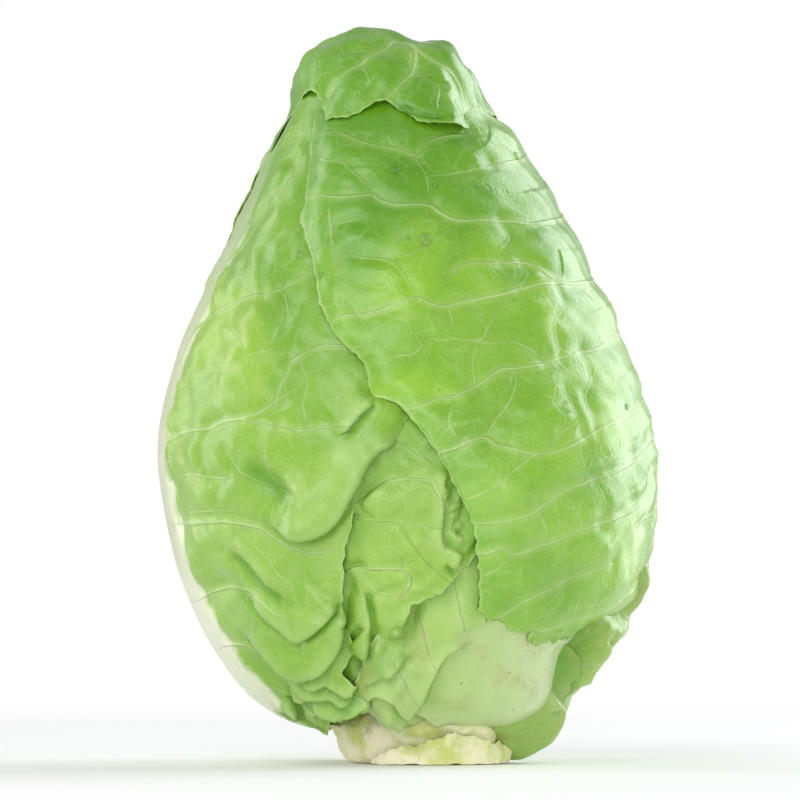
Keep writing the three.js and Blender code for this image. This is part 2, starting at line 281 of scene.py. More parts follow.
def spread(count, low, high, gain):
    """Places from 0 to 1, gain times closer together between low and high."""
    share = np.linspace(0, 1, 801)
    inside = smooth(share, low - 0.06, low + 0.02) * (1 - smooth(share, high - 0.02, high + 0.06))
    density = 1 + (gain - 1) * inside
    total = np.concatenate([[0], np.cumsum((density[1:] + density[:-1]) / 2)])
    return np.interp(np.linspace(0, total[-1], count + 1), total, share)


class Sheet:
    """A grid of points on the head, and how far each one stands out from it, or slides along it."""

    MARGIN_SHARE = 0.35  # share of its thickness that a leaf still has at its rim
    PILLOW_RUN = 4.2  # how far from a rib its pillow has risen
    RIB_RIDGE, RIB_WIDTH = 0.3, 0.55
    DIMPLE, DIMPLE_RUN = 0.5, 2.4  # of the small pillows in the net
    TATTER_RUN = 2.5  # how far in from the rim its ragged waves reach

    def __init__(self, edges, up, across, layout="wrap"):
        flatten, place = LAYOUTS[layout]
        self.layout = layout
        bottom, top, left, right = (flatten(edges[side]) for side in ("bottom", "top", "left", "right"))
        at = lambda edge, share: along(edge, share * (len(edge) - 1))
        v, u = up[:, None, None], across[None, :, None]
        low, high, start, end = at(bottom, across), at(top, across), at(left, up), at(right, up)
        corners = (1 - v) * mix(bottom[0], bottom[-1], u) + v * mix(top[0], top[-1], u)
        flat = mix(low[None], high[None], v) + mix(start[:, None], end[:, None], u) - corners
        self.base = place(flat)
        run, rise = np.gradient(self.base, across, axis=1), np.gradient(self.base, up, axis=0)
        self.out = unit(np.cross(run, rise))
        self.x, self.y, self.z = np.moveaxis(self.base, -1, 0)
        self.u = np.broadcast_to(across[None, :], self.x.shape)
        self.rise = np.zeros(self.x.shape)
        self.slide = np.zeros(self.base.shape)
        rim = np.concatenate([self.base[0], self.base[-1], self.base[:, 0], self.base[:, -1]])
        self.rim_gap = self.near(rim)
        none = np.zeros(self.x.shape)
        # The last two masks are painted light: a painted highlight on the crests of folds, and painted shade
        # in grooves and along leaves that lie over others.
        self.masks = {"margin": self.rim_gap, "pale": none, "fold": none, "painted_shade": none}

    def near(self, spots):
        """Distance from every point to the nearest of some spots."""
        find = spot_tree(spots).find
        gaps = [find(point)[2] for point in self.base.reshape(-1, 3).tolist()]
        return np.array(gaps).reshape(self.x.shape)

    def azimuth(self, middle):
        """Azimuth of the points, seen from an upright line at x = middle."""
        return np.degrees(np.arctan2(self.x - middle, -self.y))

    def measure(self, paths):
        lines = Lines(paths, self.layout)
        return (lines, *lines.measure(self.base))

    def side_of(self, path):
        return self.measure([path])[1]

    def reach_of(self, path):
        return self.measure([path])[2]

    def mark(self, mask, strength):
        self.masks[mask] = np.maximum(self.masks[mask], strength)

    def veins(self, ribs, net, quilt, calm=None):
        """Pillows between the veins, with each vein as a fine ridge at the bottom of its groove.

        Quilt is the height of the pillows between the ribs, and calm the share of it all that shows.
        """
        calm = np.ones(self.x.shape) if calm is None else calm
        lines, side, reach, index = self.measure(ribs)
        size = lines.sizes[index] * mix(0.3, 1, smooth(lines.ends[index], 0, 5))
        above = np.where(side < 0, np.exp(-reach / 11), 0)
        pillow = (1 - bell(reach, self.PILLOW_RUN)) * mix(0.72, 1.1, above) * mix(0.5, 1, size)
        ridge = self.RIB_RIDGE * size * bell(side, self.RIB_WIDTH) * (reach < 2.5)
        self.rise += calm * (quilt * pillow + ridge)
        self.masks.update(rib_side=side, rib_reach=reach, rib_size=size)
        lines, side, reach, index = self.measure(net)
        self.rise += calm * self.DIMPLE * (1 - bell(reach, self.DIMPLE_RUN))
        ends = smooth(lines.ends[index], 0, 6) * smooth(lines.starts[index], 0, 2)
        self.masks.update(net_side=side / mix(0.25, 1, ends), net_reach=reach)

    def uneven(self, height, length, seed, share=1.0):
        self.rise += height * share * ripples(self.base, length, seed)

    def ridge(self, path, height, width):
        """A soft fold along a path, or with a negative height a soft groove."""
        lines, _, reach, index = self.measure([path])
        ends = smooth(lines.starts[index], -0.1, 5) * smooth(lines.ends[index], -0.1, 5)
        self.rise += height * bell(reach, width) * mix(0.35, 1, ends)
        # The crest of a fold gets a painted highlight, and a groove gets painted shade.
        strength = min(abs(height) / 2, 1) * ends * bell(reach, 0.7 * width)
        self.mark("fold" if height > 0 else "painted_shade", strength)

    def step(self, path, height, width, lap, ends, groove=0.8):
        """A fold whose right side, seen along the path, stands higher and laps over a groove on its left.

        Ends are the lengths over which it fades at its start and its end.
        """
        lines, side, reach, index = self.measure([path])
        past = np.sqrt(np.maximum(reach**2 - side**2, 0))
        live = smooth(lines.starts[index], -0.1, ends[0]) * smooth(lines.ends[index], -0.1, ends[1])
        live = live * bell(past, 2.5)
        roll = smooth(side, -0.6, 1.2) * np.exp(-np.maximum(side - 1, 0) / width)
        self.rise += live * (height * roll - groove * bell(side + 1.2, 1.5))
        push = lap * live * smooth(side, -0.7, 0.8) * bell(side, 2.6)
        self.slide -= lines.rights[index] * push[..., None]
        # Its crest gets a painted highlight, and its groove gets painted shade.
        strength = live * min(height / 2, 1)
        self.mark("fold", strength * bell(side - 1.4, 1.5))
        self.mark("painted_shade", strength * bell(side + 0.9, 1.3))

    def shade(self, path, share, width):
        """Painted shade: deeper green along a line, where light only comes through the leaves."""
        self.mark("painted_shade", share * (1 - smooth(self.reach_of(path), 0.3, width)))

    def tatter(self, reach, length, seed):
        """A ragged margin: the rim wanders over the surface by about reach."""
        wander = np.stack([ripples(self.base, length, seed + k) for k in range(3)], -1)
        wander -= self.out * (wander * self.out).sum(-1, keepdims=True)
        self.slide += reach * wander * (1 - smooth(self.rim_gap, 0, self.TATTER_RUN))[..., None]

    def mesh(self, name, material, blade):
        """A closed sheet: a fine outer face, and a coarser inner one stitched to it round the rim."""
        thick = blade * mix(self.MARGIN_SHARE, 1, smooth(self.rim_gap, 0, 4))
        outer = self.base + self.out * (self.rise + thick)[..., None] + self.slide
        inner = (self.base + self.out * self.rise[..., None] + self.slide)[::2, ::2]
        rows, columns = self.x.shape
        ids = np.arange(rows * columns).reshape(rows, columns)
        under = rows * columns + np.arange(inner.shape[0] * inner.shape[1]).reshape(inner.shape[:2])
        quads = [grid_faces(ids), grid_faces(under)[:, INWARDS]]
        edge, hem = rim_loop(ids), rim_loop(under)
        first, middle, last = edge[0::2], edge[1::2], np.roll(edge[0::2], -1)
        next_hem = np.roll(hem, -1)
        triangles = [
            np.stack(corners, -1)
            for corners in ((middle, first, hem), (last, middle, next_hem), (middle, hem, next_hem))
        ]
        points = np.vstack([outer.reshape(-1, 3), inner.reshape(-1, 3)])
        masks = {
            key: np.concatenate([grid.ravel(), grid[::2, ::2].ravel()]) for key, grid in self.masks.items()
        }
        return new_piece(name, points, np.vstack(quads), np.vstack(triangles), material, masks)


INWARDS = [0, 3, 2, 1]  # the order of a face's corners that turns it round


def grid_faces(ids):
    """The faces between the vertices of a grid."""
    return np.stack([ids[:-1, :-1], ids[:-1, 1:], ids[1:, 1:], ids[1:, :-1]], -1).reshape(-1, 4)


def rim_loop(ids):
    """The vertices round a grid, in the order bottom, right, top, left."""
    return np.concatenate([ids[0, :-1], ids[:-1, -1], ids[-1, :0:-1], ids[:0:-1, 0]])


def new_piece(name, points, quads, triangles, material, masks=None):
    """A smooth-shaded mesh object from points in millimetres, with one number a point for each mask."""
    mesh = bpy.data.meshes.new(name)
    mesh.vertices.add(len(points))
    mesh.vertices.foreach_set("co", (np.asarray(points) * MM).astype(np.float32).ravel())
    corners = np.concatenate([np.ravel(quads), np.ravel(triangles)]).astype(np.int32)
    sizes = np.concatenate([np.full(len(quads), 4), np.full(len(triangles), 3)])
    mesh.loops.add(len(corners))
    mesh.loops.foreach_set("vertex_index", corners)
    mesh.polygons.add(len(sizes))
    starts = np.concatenate([[0], np.cumsum(sizes)[:-1]])
    mesh.polygons.foreach_set("loop_start", starts.astype(np.int32))
    mesh.update(calc_edges=True)
    mesh.polygons.foreach_set("use_smooth", np.ones(len(sizes), bool))
    for key, values in (masks or {}).items():
        mesh.attributes.new(key, "FLOAT", "POINT").data.foreach_set("value", values.astype(np.float32))
    if mesh.validate():
        raise ValueError(f"{name} has faces that aren't valid")
    mesh.materials.append(material)
    piece = bpy.data.objects.new(name, mesh)
    bpy.context.scene.collection.objects.link(piece)
    return piece


def stand_for(piece, node):
    """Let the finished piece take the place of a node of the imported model, if it has one."""
    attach(piece, "root")
    if node:
        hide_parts(node)


# Materials.


def from_srgb(red, green, blue):
    """A colour on the usual 0 to 255 scale, as the linear shares that Blender works in."""
    return tuple(
        c / 255 / 12.92 if c <= 10 else ((c / 255 + 0.055) / 1.055) ** 2.4 for c in (red, green, blue)
    )


def add_node(tree, kind, inputs=None, **settings):
    """A node with its settings and inputs; an input is a value or another node's socket."""
    node = tree.nodes.new(kind)
    for key, value in settings.items():
        setattr(node, key, value)
    for key, value in (inputs or {}).items():
        if isinstance(value, bpy.types.NodeSocket):
            tree.links.new(value, node.inputs[key])
        else:
            node.inputs[key].default_value = value
    return node


class Mixer:
    """Short names for the sums and blends that the materials are made of."""

    def __init__(self, tree):
        self.tree = tree

    def math(self, operation, a, b=0.0):
        return add_node(self.tree, "ShaderNodeMath", {0: a, 1: b}, operation=operation).outputs[0]

    def times(self, a, b):
        return self.math("MULTIPLY", a, b)

    def plus(self, a, b):
        return self.math("ADD", a, b)

    def band(self, value, low, high, bottom=0.0, top=1.0):
        """Goes smoothly from bottom to top as the value goes from low to high."""
        inputs = {"Value": value, "From Min": low, "From Max": high, "To Min": bottom, "To Max": top}
        node = add_node(self.tree, "ShaderNodeMapRange", inputs, interpolation_type="SMOOTHSTEP")
        return node.outputs["Result"]

    def blend(self, share, under, over):
        """Colour under, with a share of colour over."""
        node = add_node(self.tree, "ShaderNodeMix", data_type="RGBA")
        for index, value in ((0, share), (6, under), (7, over)):
            if isinstance(value, bpy.types.NodeSocket):
                self.tree.links.new(value, node.inputs[index])
            else:
                node.inputs[index].default_value = value if index == 0 else (*value, 1)
        return node.outputs[2]

    def mask(self, name):
        return add_node(self.tree, "ShaderNodeAttribute", attribute_name=name).outputs["Fac"]

    def where(self):
        return add_node(self.tree, "ShaderNodeTexCoord").outputs["Object"]

    def vector_math(self, operation, inputs):
        return add_node(self.tree, "ShaderNodeVectorMath", inputs, operation=operation).outputs

    def noise(self, size, detail=3.0, roughness=0.5, stretch=None):
        """Noise whose lumps are about that many millimetres across."""
        where = self.where()
        if stretch:
            where = add_node(self.tree, "ShaderNodeMapping", {"Vector": where, "Scale": stretch}).outputs[0]
        inputs = {"Vector": where, "Scale": 1 / (size * MM), "Detail": detail, "Roughness": roughness}
        return add_node(self.tree, "ShaderNodeTexNoise", inputs).outputs["Fac"]

    def cells(self, size, warp):
        """Distance to the walls of irregular cells, in cells; warp is a vector that bends them."""
        bent = self.vector_math("ADD", {0: self.where(), 1: warp})[0]
        inputs = {"Vector": bent, "Scale": 1 / (size * MM), "Randomness": 0.9}
        node = add_node(self.tree, "ShaderNodeTexVoronoi", inputs, feature="DISTANCE_TO_EDGE")
        return node.outputs["Distance"]

    def warp(self, size, reach):
        """A wavering vector up to about reach millimetres long."""
        inputs = {"Vector": self.where(), "Scale": 1 / (size * MM), "Detail": 2.0}
        colour = add_node(self.tree, "ShaderNodeTexNoise", inputs).outputs["Color"]
        centred = self.vector_math("SUBTRACT", {0: colour, 1: (0.5, 0.5, 0.5)})[0]
        return self.vector_math("SCALE", {0: centred, "Scale": 2 * reach * MM})[0]

    def bump(self, height, strength, depth):
        """Normals for a relief that is depth millimetres deep."""
        inputs = {"Strength": strength, "Distance": depth * MM, "Height": height}
        return add_node(self.tree, "ShaderNodeBump", inputs).outputs[0]


def veining_group():
    """Masks of a leaf's ribs, cross veins and fine network, and the relief that they make."""
    name = "Leaf veining"
    if name in bpy.data.node_groups:
        return bpy.data.node_groups[name]
    tree = bpy.data.node_groups.new(name, "ShaderNodeTree")
    for label, value in (("Rib Width", 0.5), ("Net Width", 0.28)):
        socket = tree.interface.new_socket(label, in_out="INPUT", socket_type="NodeSocketFloat")
        socket.default_value = value
    for label in ("Ribs", "Net", "Mesh", "Halo", "Relief"):
        tree.interface.new_socket(label, in_out="OUTPUT", socket_type="NodeSocketFloat")
    given = tree.nodes.new("NodeGroupInput").outputs
    result = tree.nodes.new("NodeGroupOutput").inputs
    m = Mixer(tree)

    waver = m.band(m.noise(9), 0.3, 0.7, 0.65, 1.25)

    def line(kind, width, fade):
        width = m.times(width, waver)
        off = m.math("ABSOLUTE", m.mask(kind + "_side"))
        core = m.band(m.math("DIVIDE", off, width), 0.25, 1.8, 1, 0)
        return m.times(core, m.band(m.mask(kind + "_reach"), fade, fade + 0.7, 1, 0))

    rib_width = m.times(given["Rib Width"], m.mask("rib_size"))
    ribs = m.times(line("rib", rib_width, 1.3), m.band(m.noise(12), 0.3, 0.6, 0.5, 1))
    net = line("net", given["Net Width"], 0.9)
    net = m.times(net, m.band(m.noise(14), 0.3, 0.55, 0.35, 1))
    warp = m.warp(6, 1.6)
    wide, fine = m.cells(6.5, warp), m.cells(2.3, warp)
    wide_mesh = m.times(m.band(wide, 0.0, 0.09, 1, 0), m.band(m.noise(16), 0.38, 0.62, 0.1, 1))
    fine_mesh = m.times(m.band(fine, 0.0, 0.14, 1, 0), 0.35)
    mesh = m.math("MAXIMUM", wide_mesh, fine_mesh)
    halo = m.band(m.mask("rib_reach"), 0.2, 2.6, 1, 0)
    relief = ribs
    for lines, share in ((net, 0.5), (mesh, 0.3), (m.noise(1.1, 4), 0.25)):
        relief = m.plus(relief, m.times(lines, share))
    for label, value in (("Ribs", ribs), ("Net", net), ("Mesh", mesh), ("Halo", halo), ("Relief", relief)):
        tree.links.new(value, result[label])
    return tree


def new_material(name):
    material = bpy.data.materials.new(name)
    material.use_nodes = True
    material.node_tree.nodes.clear()
    out = material.node_tree.nodes.new("ShaderNodeOutputMaterial")
    shader = material.node_tree.nodes.new("ShaderNodeBsdfPrincipled")
    material.node_tree.links.new(shader.outputs[0], out.inputs["Surface"])
    return material, material.node_tree, shader


BRUISE = from_srgb(168, 148, 96)
WAX = from_srgb(206, 226, 190)


def leaf_material(name, fresh, deep, pale, vein, rib_width, coat, top_tint=0.0, worn=0.0):
    """A waxy leaf: mottled green, paler veins over it, and white where the stalk runs, with a band of painted
    light round its middle height, painted highlights on fold crests and rims, and painted shade in creases.

    The top tint darkens it towards the tip, and worn is its share of brown patches.
    """
    material, tree, shader = new_material(name)
    m = Mixer(tree)
    veining = add_node(tree, "ShaderNodeGroup", node_tree=veining_group())
    veining.inputs["Rib Width"].default_value = rib_width
    height = add_node(tree, "ShaderNodeSeparateXYZ", {0: m.where()}).outputs["Z"]
    lighter = mixed(fresh, vein, 0.55)
    # A yellower green for painted light, and a dark green for painted shade.
    painted_light_green = (fresh[0] * 1.02, fresh[1] * 1.05, fresh[2] * 0.42)
    shadow = (deep[0] * 0.55, deep[1] * 0.75, deep[2] * 0.3)

    mottle = m.band(m.noise(26, 4, 0.6), 0.32, 0.68)
    climb = m.band(height, 0.05, 0.21, 0, 1)
    colour = m.blend(m.plus(m.times(mottle, 0.55), m.times(climb, 0.75 * top_tint)), fresh, deep)
    # Random yellower patches all over are the leaf's own tone; they grow much stronger in a band of painted
    # light round the middle height.
    painted_light_band = m.times(m.band(height, 0.08, 0.125), m.band(height, 0.13, 0.175, 1, 0))
    patch = m.band(m.noise(34, 3, 0.5), 0.42, 0.62, 0.1, 0.75)
    colour = m.blend(m.times(m.plus(painted_light_band, 0.25), patch), colour, painted_light_green)
    speckle = m.band(m.noise(1.6, 3, 0.6), 0.3, 0.75)
    colour = m.blend(m.times(speckle, 0.14), colour, darker(deep, 0.72))
    vein = m.blend(m.band(height, 0.12, 0.2, 0, 0.6 * top_tint), vein, lighter)
    colour = m.blend(m.times(veining.outputs["Halo"], 0.26), colour, lighter)
    # Painted highlight on the crests of folds.
    colour = m.blend(m.times(m.mask("fold"), 0.5), colour, lighter)
    bloom = m.band(m.noise(9, 5, 0.65), 0.48, 0.72, 0, 0.16)
    colour = m.blend(bloom, colour, mixed(fresh, WAX, 0.5))
    for label, share in (("Mesh", 0.16), ("Net", 0.34), ("Ribs", 0.52)):
        colour = m.blend(m.times(veining.outputs[label], share), colour, vein)
    # Painted shade in creases and under overlapping leaves.
    colour = m.blend(m.times(m.mask("painted_shade"), 0.75), colour, shadow)
    # Painted highlight along each thin rim, where light shines through the edge.
    hem = m.times(m.band(m.mask("margin"), 0.1, 1.1, 0.6, 0), m.band(m.noise(8), 0.35, 0.6, 0.3, 1))
    colour = m.blend(hem, colour, lighter)

    streak = m.band(m.noise(9, 4, 0.6, (1.6, 1.6, 0.35)), 0.3, 0.7)
    stalk = m.blend(m.times(streak, 0.35), pale, mixed(pale, fresh, 0.3))
    stalk = m.blend(m.band(m.noise(17, 3, 0.5), 0.42, 0.66, 0, 0.3), stalk, mixed(pale, fresh, 0.75))
    stalk = m.blend(m.band(m.noise(2.4, 4, 0.7), 0.68, 0.76, 0, 0.3), stalk, BRUISE)
    colour = m.blend(m.mask("pale"), colour, stalk)
    if worn:
        colour = m.blend(m.band(m.noise(10, 4, 0.65), 0.5, 0.68, 0, worn), colour, BRUISE)
        spots = m.band(m.noise(2.2, 3, 0.7), 0.66, 0.72, 0, 2 * worn)
        colour = m.blend(spots, colour, darker(BRUISE, 0.4))

    tree.links.new(colour, shader.inputs["Base Color"])
    tree.links.new(m.band(m.noise(15, 4, 0.6), 0.25, 0.75, 0.29, 0.4), shader.inputs["Roughness"])
    tree.links.new(m.bump(veining.outputs["Relief"], 0.8, 0.45), shader.inputs["Normal"])
    shader.inputs["Coat Weight"].default_value = coat
    shader.inputs["Coat Roughness"].default_value = 0.26
    shader.inputs["IOR"].default_value = 1.45
    shader.inputs["Subsurface Weight"].default_value = 0.12
    shader.inputs["Subsurface Radius"].default_value = (0.8, 1.0, 0.25)
    shader.inputs["Subsurface Scale"].default_value = 1.5 * MM
    return material


def stalk_material(name, cream, green, brown, roughness):
    """Firm pale stalk flesh with green and brown patches, as on the stump."""
    material, tree, shader = new_material(name)
    m = Mixer(tree)
    colour = m.blend(m.band(m.noise(11, 4, 0.6), 0.42, 0.66), cream, green)
    colour = m.blend(m.times(m.band(m.noise(4, 4, 0.65), 0.6, 0.72), 0.55), colour, brown)
    fibre = m.noise(1.3, 4, 0.6, (1, 1, 0.2))
    colour = m.blend(m.times(m.band(fibre, 0.35, 0.7), 0.2), colour, darker(cream, 0.8))
    tree.links.new(colour, shader.inputs["Base Color"])
    rough = m.band(m.noise(3), 0.3, 0.7, roughness - 0.08, roughness + 0.12)
    tree.links.new(rough, shader.inputs["Roughness"])
    tree.links.new(m.bump(fibre, 0.5, 0.4), shader.inputs["Normal"])
    shader.inputs["Subsurface Weight"].default_value = 0.15
    shader.inputs["Subsurface Radius"].default_value = (1.0, 0.9, 0.5)
    shader.inputs["Subsurface Scale"].default_value = 2 * MM
    return material


class CabbageSizes(bpy.types.PropertyGroup):
    blade: bpy.props.FloatProperty(
        name="Leaf Thickness", description="Thickness of a leaf away from its ribs", default=0.75 * MM,
        min=0.3 * MM, max=1.5 * MM, precision=5, unit="LENGTH")
    quilt: bpy.props.FloatProperty(
        name="Quilting", description="How far a leaf swells between its ribs", default=1.5 * MM,
        min=0.0, max=3 * MM, precision=5, unit="LENGTH")
    detail: bpy.props.FloatProperty(
        name="Detail", description="Share of the full number of faces that the leaves are made with",
        default=1.0, min=0.2, max=1.0, subtype="FACTOR")
    drop: bpy.props.FloatProperty(
        name="Water Drop", description="Radius of the largest drop of water", default=2 * MM,
        min=0.5 * MM, max=4 * MM, precision=5, unit="LENGTH")


def colour_property(name, description, colour):
    return bpy.props.FloatVectorProperty(
        name=name, description=description, default=colour, size=3, min=0, max=1, subtype="COLOR")


class CabbageColours(bpy.types.PropertyGroup):
    outer: colour_property("Outer Leaf", "Green of the outer leaves", from_srgb(148, 194, 68))
    outer_deep: colour_property("Outer Leaf Shade", "Darker green that the outer leaves are mottled with",
                                from_srgb(90, 154, 2))
    inner: colour_property("Inner Leaf", "Green of the leaves below", from_srgb(151, 190, 82))
    inner_deep: colour_property("Inner Leaf Shade", "Darker green that those are mottled with",
                                from_srgb(104, 163, 10))
    vein: colour_property("Vein", "Colour of the ribs and veins", from_srgb(198, 221, 150))
    stalk: colour_property("Stalk", "White of the stalks", from_srgb(226, 230, 202))
    heart: colour_property("Heart", "Pale yellow green of the heart", from_srgb(214, 222, 150))
    stump: colour_property("Stump", "Cream of the cut stump", from_srgb(246, 240, 208))


# The leaves' veins, folds and margins.


# Places in round brackets are (x, height) as seen from the front.
# Those in square brackets are [azimuth, height].


RIGHT_MIDRIB = [[124, 12.5], [121, 40], [118, 80], [116, 120], [113, 160], [108, 196]]


def right_ribs():
    fronts = [
        [(20.1, 30), (27, 36), (35, 39), (45, 43), (55, 46), (62, 52), (66, 58)],
        [(27.6, 44.1), (31.2, 47.7), (35.1, 50.4), (39.6, 52.5), (45.6, 55.5), (51.6, 57.9), (56.1, 60),
         (59.1, 63.3), (62.1, 66.3), (65.1, 70.5), (68.6, 74.4)],
        [(20.1, 63), (23.1, 63.9), (27.6, 65.4), (30.6, 63.6), (36.6, 65.4), (42.6, 67.2), (48.6, 69.9),
         (54.6, 72), (60.6, 74.4), (65.1, 76.5), (69.6, 81.8), (71.3, 87.9)],
        [(20.1, 72.3), (24.6, 72.6), (30.6, 73.8), (36.6, 75.9), (41.1, 78.9), (45.6, 81.9), (51.6, 84.3),
         (57.6, 86.4), (63.6, 88.8), (67.5, 90.9), (69.6, 93.9), (72, 98)],
        [(9.6, 93.3), (14.1, 94.8), (18.6, 96.9), (22.8, 97.8), (26.1, 95.7), (30.6, 94.5), (36.6, 93),
         (42, 93.3), (47.1, 95.1), (51.6, 97.5), (57.6, 100.8), (63.6, 103.5), (67.2, 105.3), (69.5, 108.5)],
        [(-0.9, 105.9), (3.6, 106.8), (8.1, 108.9), (14.1, 109.8), (16.2, 111), (20.1, 112.8), (23.1, 114.9),
         (27.6, 117.9), (32.1, 118.2), (39.6, 119.4), (45.6, 121.5), (51.6, 123.3), (56.7, 124.2),
         (60.6, 127.5), (63.2, 128.6)],
        [(-21, 132.6), (-17.4, 133.8), (-12.9, 134.1), (-8.4, 135), (-3.9, 136.5), (2.1, 138.6), (6.6, 137.1),
         (11.1, 136.8), (15.6, 138), (21.6, 138.9), (27.6, 140.1), (33.6, 141.9), (39.6, 143.1),
         (45.6, 143.7), (50.1, 143.7), (55.6, 144.7)],
        [(-31.5, 170.1), (-26.4, 169.5), (-21.9, 168.3), (-17.4, 168.3), (-13.8, 168.9), (-10.5, 169.5),
         (-8.4, 168), (-3.9, 166.8), (2.1, 166.8), (6.3, 166.5), (8.7, 164.7), (12.6, 162.6), (17.1, 162),
         (24.6, 162.3), (30.6, 162.3), (36.6, 161.4), (42.6, 162.3), (46.6, 163.8)],
    ]
    ribs = []
    for front in fronts:
        end = front[-1][1]
        beyond = [[97, end + 0.5], [107, end - 5], [117, end - 16]]
        ribs.append((np.vstack([seen(front), beyond]), (0.62, 1.15)))
    short = [
        [(14.1, 147.3), (15.6, 148.8), (20.1, 149.4), (26.1, 149.4), (32.1, 149.7), (35.1, 149.4),
         (38.1, 147.9), (41.1, 145.8), (45.5, 144)],
        [(-27.6, 187.5), (-20.4, 187.5), (-16.8, 186), (-12.9, 184.5), (-6.9, 183.9), (-2.4, 183.3),
         (2.1, 182.1), (4.2, 184.5), (8.1, 186.3), (12.6, 187.8), (17.1, 188.4)],
        [(24.6, 178.8), (29.1, 179.7), (34.5, 181.2), (37, 182)],
        [(50, 38.5), (57.6, 42.4), (63.6, 48)],
    ]
    ribs += [(seen(front), (0.5, 0.8)) for front in short]
    for low in (22, 38, 54, 72, 90, 110, 130, 150, 168):
        path = [[118, low], [127, low + 9], [138, low + 15], [150, low + 18], [158, low + 19]]
        ribs.append((path, (1.1, 0.6)))
    ribs.append((RIGHT_MIDRIB, (2.2, 1.0)))
    return ribs


RIGHT_NET = [
    [(2.1, 182.1), (3.6, 179.4), (5.4, 175.5), (6, 171.9), (6.3, 167.4)],
    [(6, 175.5), (11.1, 175.8), (15, 176.4), (18.9, 177), (24.6, 178.8)],
    [(-30.6, 179.7), (-26.4, 180.3), (-22.8, 178.8), (-20.4, 178.5), (-18.3, 177.9), (-15.9, 175.5),
     (-13.5, 173.4), (-11.7, 171), (-10.5, 169.5)],
    [(-22.5, 166), (-22.2, 159.3), (-21.6, 153.9), (-20.1, 152.4)],
    [(-21.6, 159.9), (-17.4, 161.1), (-12.9, 162.6), (-9, 166)],
    [(-26.4, 153.3), (-21.6, 153.9)],
    [(-17.4, 152.1), (-13.8, 150.6), (-9, 150.3), (-5.4, 149.4), (-3.3, 147.6), (-0.9, 144.6), (0.9, 141.3),
     (2.1, 138.6)],
    [(-3, 150.3), (0, 151.5), (3.6, 153.3), (8.1, 156), (11.7, 158.7), (15.6, 160.5)],
    [(-21.9, 143.4), (-18.9, 139.8), (-16.8, 135.9), (-15.9, 134.1)],
    [(6, 127.5), (9.6, 126.6), (14.1, 127.2), (18.6, 126.6), (22.2, 127.5), (23.7, 130.5), (25.5, 133.2),
     (27, 135.6), (28.2, 137.4)],
    [(18.6, 126.3), (24.6, 125.7), (30.6, 126), (36, 124), (40, 120)],
    [(-9.9, 121.5), (-6.9, 120.6), (-2.4, 121.8), (2.1, 122.7), (6, 127.5)],
    [(-18, 124.2), (-12.9, 124.8), (-9.9, 125.7)],
    [(22.8, 97.8), (24.6, 100.5), (26.1, 103.5), (28.2, 105.9), (31, 112), (32, 117)],
    [(16.5, 78.9), (20.1, 80.4), (24.6, 82.8), (27.6, 85.5), (32.1, 88.8), (36.6, 92.1), (39.6, 93)],
    [(48.6, 102.9), (50.1, 99.9), (51.6, 97.8)],
    [(46, 112), (48.6, 102.9), (44, 99), (42, 94)],
    [(21.6, 56.4), (25.2, 58.8), (29.1, 61.8), (32.1, 63.6)],
    [(35.1, 42.9), (39.6, 46.5), (44.1, 49.5), (46, 55)],
    [(45.6, 45.3), (51.6, 47.7), (57.6, 50.4), (62, 53.4), (64, 56.4)],
    [(54.6, 53.4), (57.6, 57.9), (59.1, 62.4)],
    [(28, 162.3), (30, 157), (27, 153), (28, 149.5)],
    [(44, 143.2), (46, 137), (43, 131), (45.4, 121.5)],
    [(12, 137), (13, 132), (9.6, 126.6)],
    [(15, 97), (12, 102), (13, 109)],
    [(38, 76.5), (40, 70), (39, 66)],
    [(55, 85), (57, 79), (56, 72.5)],
    [(33, 141.7), (35, 146), (34, 149.5)],
    [(20, 112.8), (19, 119), (20, 126)],
    [(52, 123.3), (54, 116), (52, 109), (55, 99.5)],
]

LEFT_MIDRIB = [[-93, 12.5], [-92, 40], [-90, 85], [-91, 125], [-90, 160], [-86, 196]]


def left_ribs():
    fronts = [
        [(-68.1, 120.1), (-65.4, 127), (-62.4, 131.5), (-59.4, 135), (-54.9, 137.7), (-48.9, 139.8),
         (-42.9, 140.7), (-38.4, 142.5), (-33.9, 144.6), (-26, 149)],
        [(-72.9, 95), (-69.9, 97.8), (-66.9, 99.6), (-60.9, 100.5), (-55.8, 102.9), (-50.4, 103.5),
         (-45.9, 105), (-42.9, 106.8), (-40.2, 108.9), (-39.3, 111.3), (-37.8, 114.9), (-36, 117.9),
         (-34.8, 120.3), (-32.4, 122.4), (-27.9, 124.5), (-24.9, 125.4), (-18.9, 125.4), (-10, 126)],
        [(-70.4, 72), (-62.4, 72.3), (-54.9, 72.6), (-48.9, 71.7), (-43.8, 70.5), (-39.9, 67.8),
         (-35.4, 65.4), (-30.9, 63.9), (-26.4, 63.6), (-21.9, 65.1), (-19.5, 67.8)],
        [(-56.5, 148), (-50, 156), (-44, 164), (-38, 172), (-34, 180)],
        [(-62, 50), (-55, 52.5), (-48, 52), (-42, 49), (-36, 45)],
        [(-55, 36), (-49, 36), (-44, 33), (-38, 29), (-33, 24)],
    ]
    ribs = [
        (np.vstack([[[-92, front[0][1] - 9], [-88, front[0][1] - 2.5]], seen(front)]), (1.35, 0.55))
        for front in fronts
    ]
    fork = [(-50.4, 103.5), (-44.4, 102), (-38.4, 101.4), (-32.4, 99.9), (-26.4, 100.5), (-18.9, 101.4)]
    ribs.append((seen(fork), (0.6, 0.4)))
    for low in (24, 40, 56, 74, 92, 111, 130, 150, 168):
        path = [[-92, low], [-104, low + 10], [-120, low + 18], [-138, low + 22], [-164, low + 24]]
        ribs.append((path, (1.2, 0.6)))
    ribs.append((LEFT_MIDRIB, (2.6, 1.2)))
    return ribs


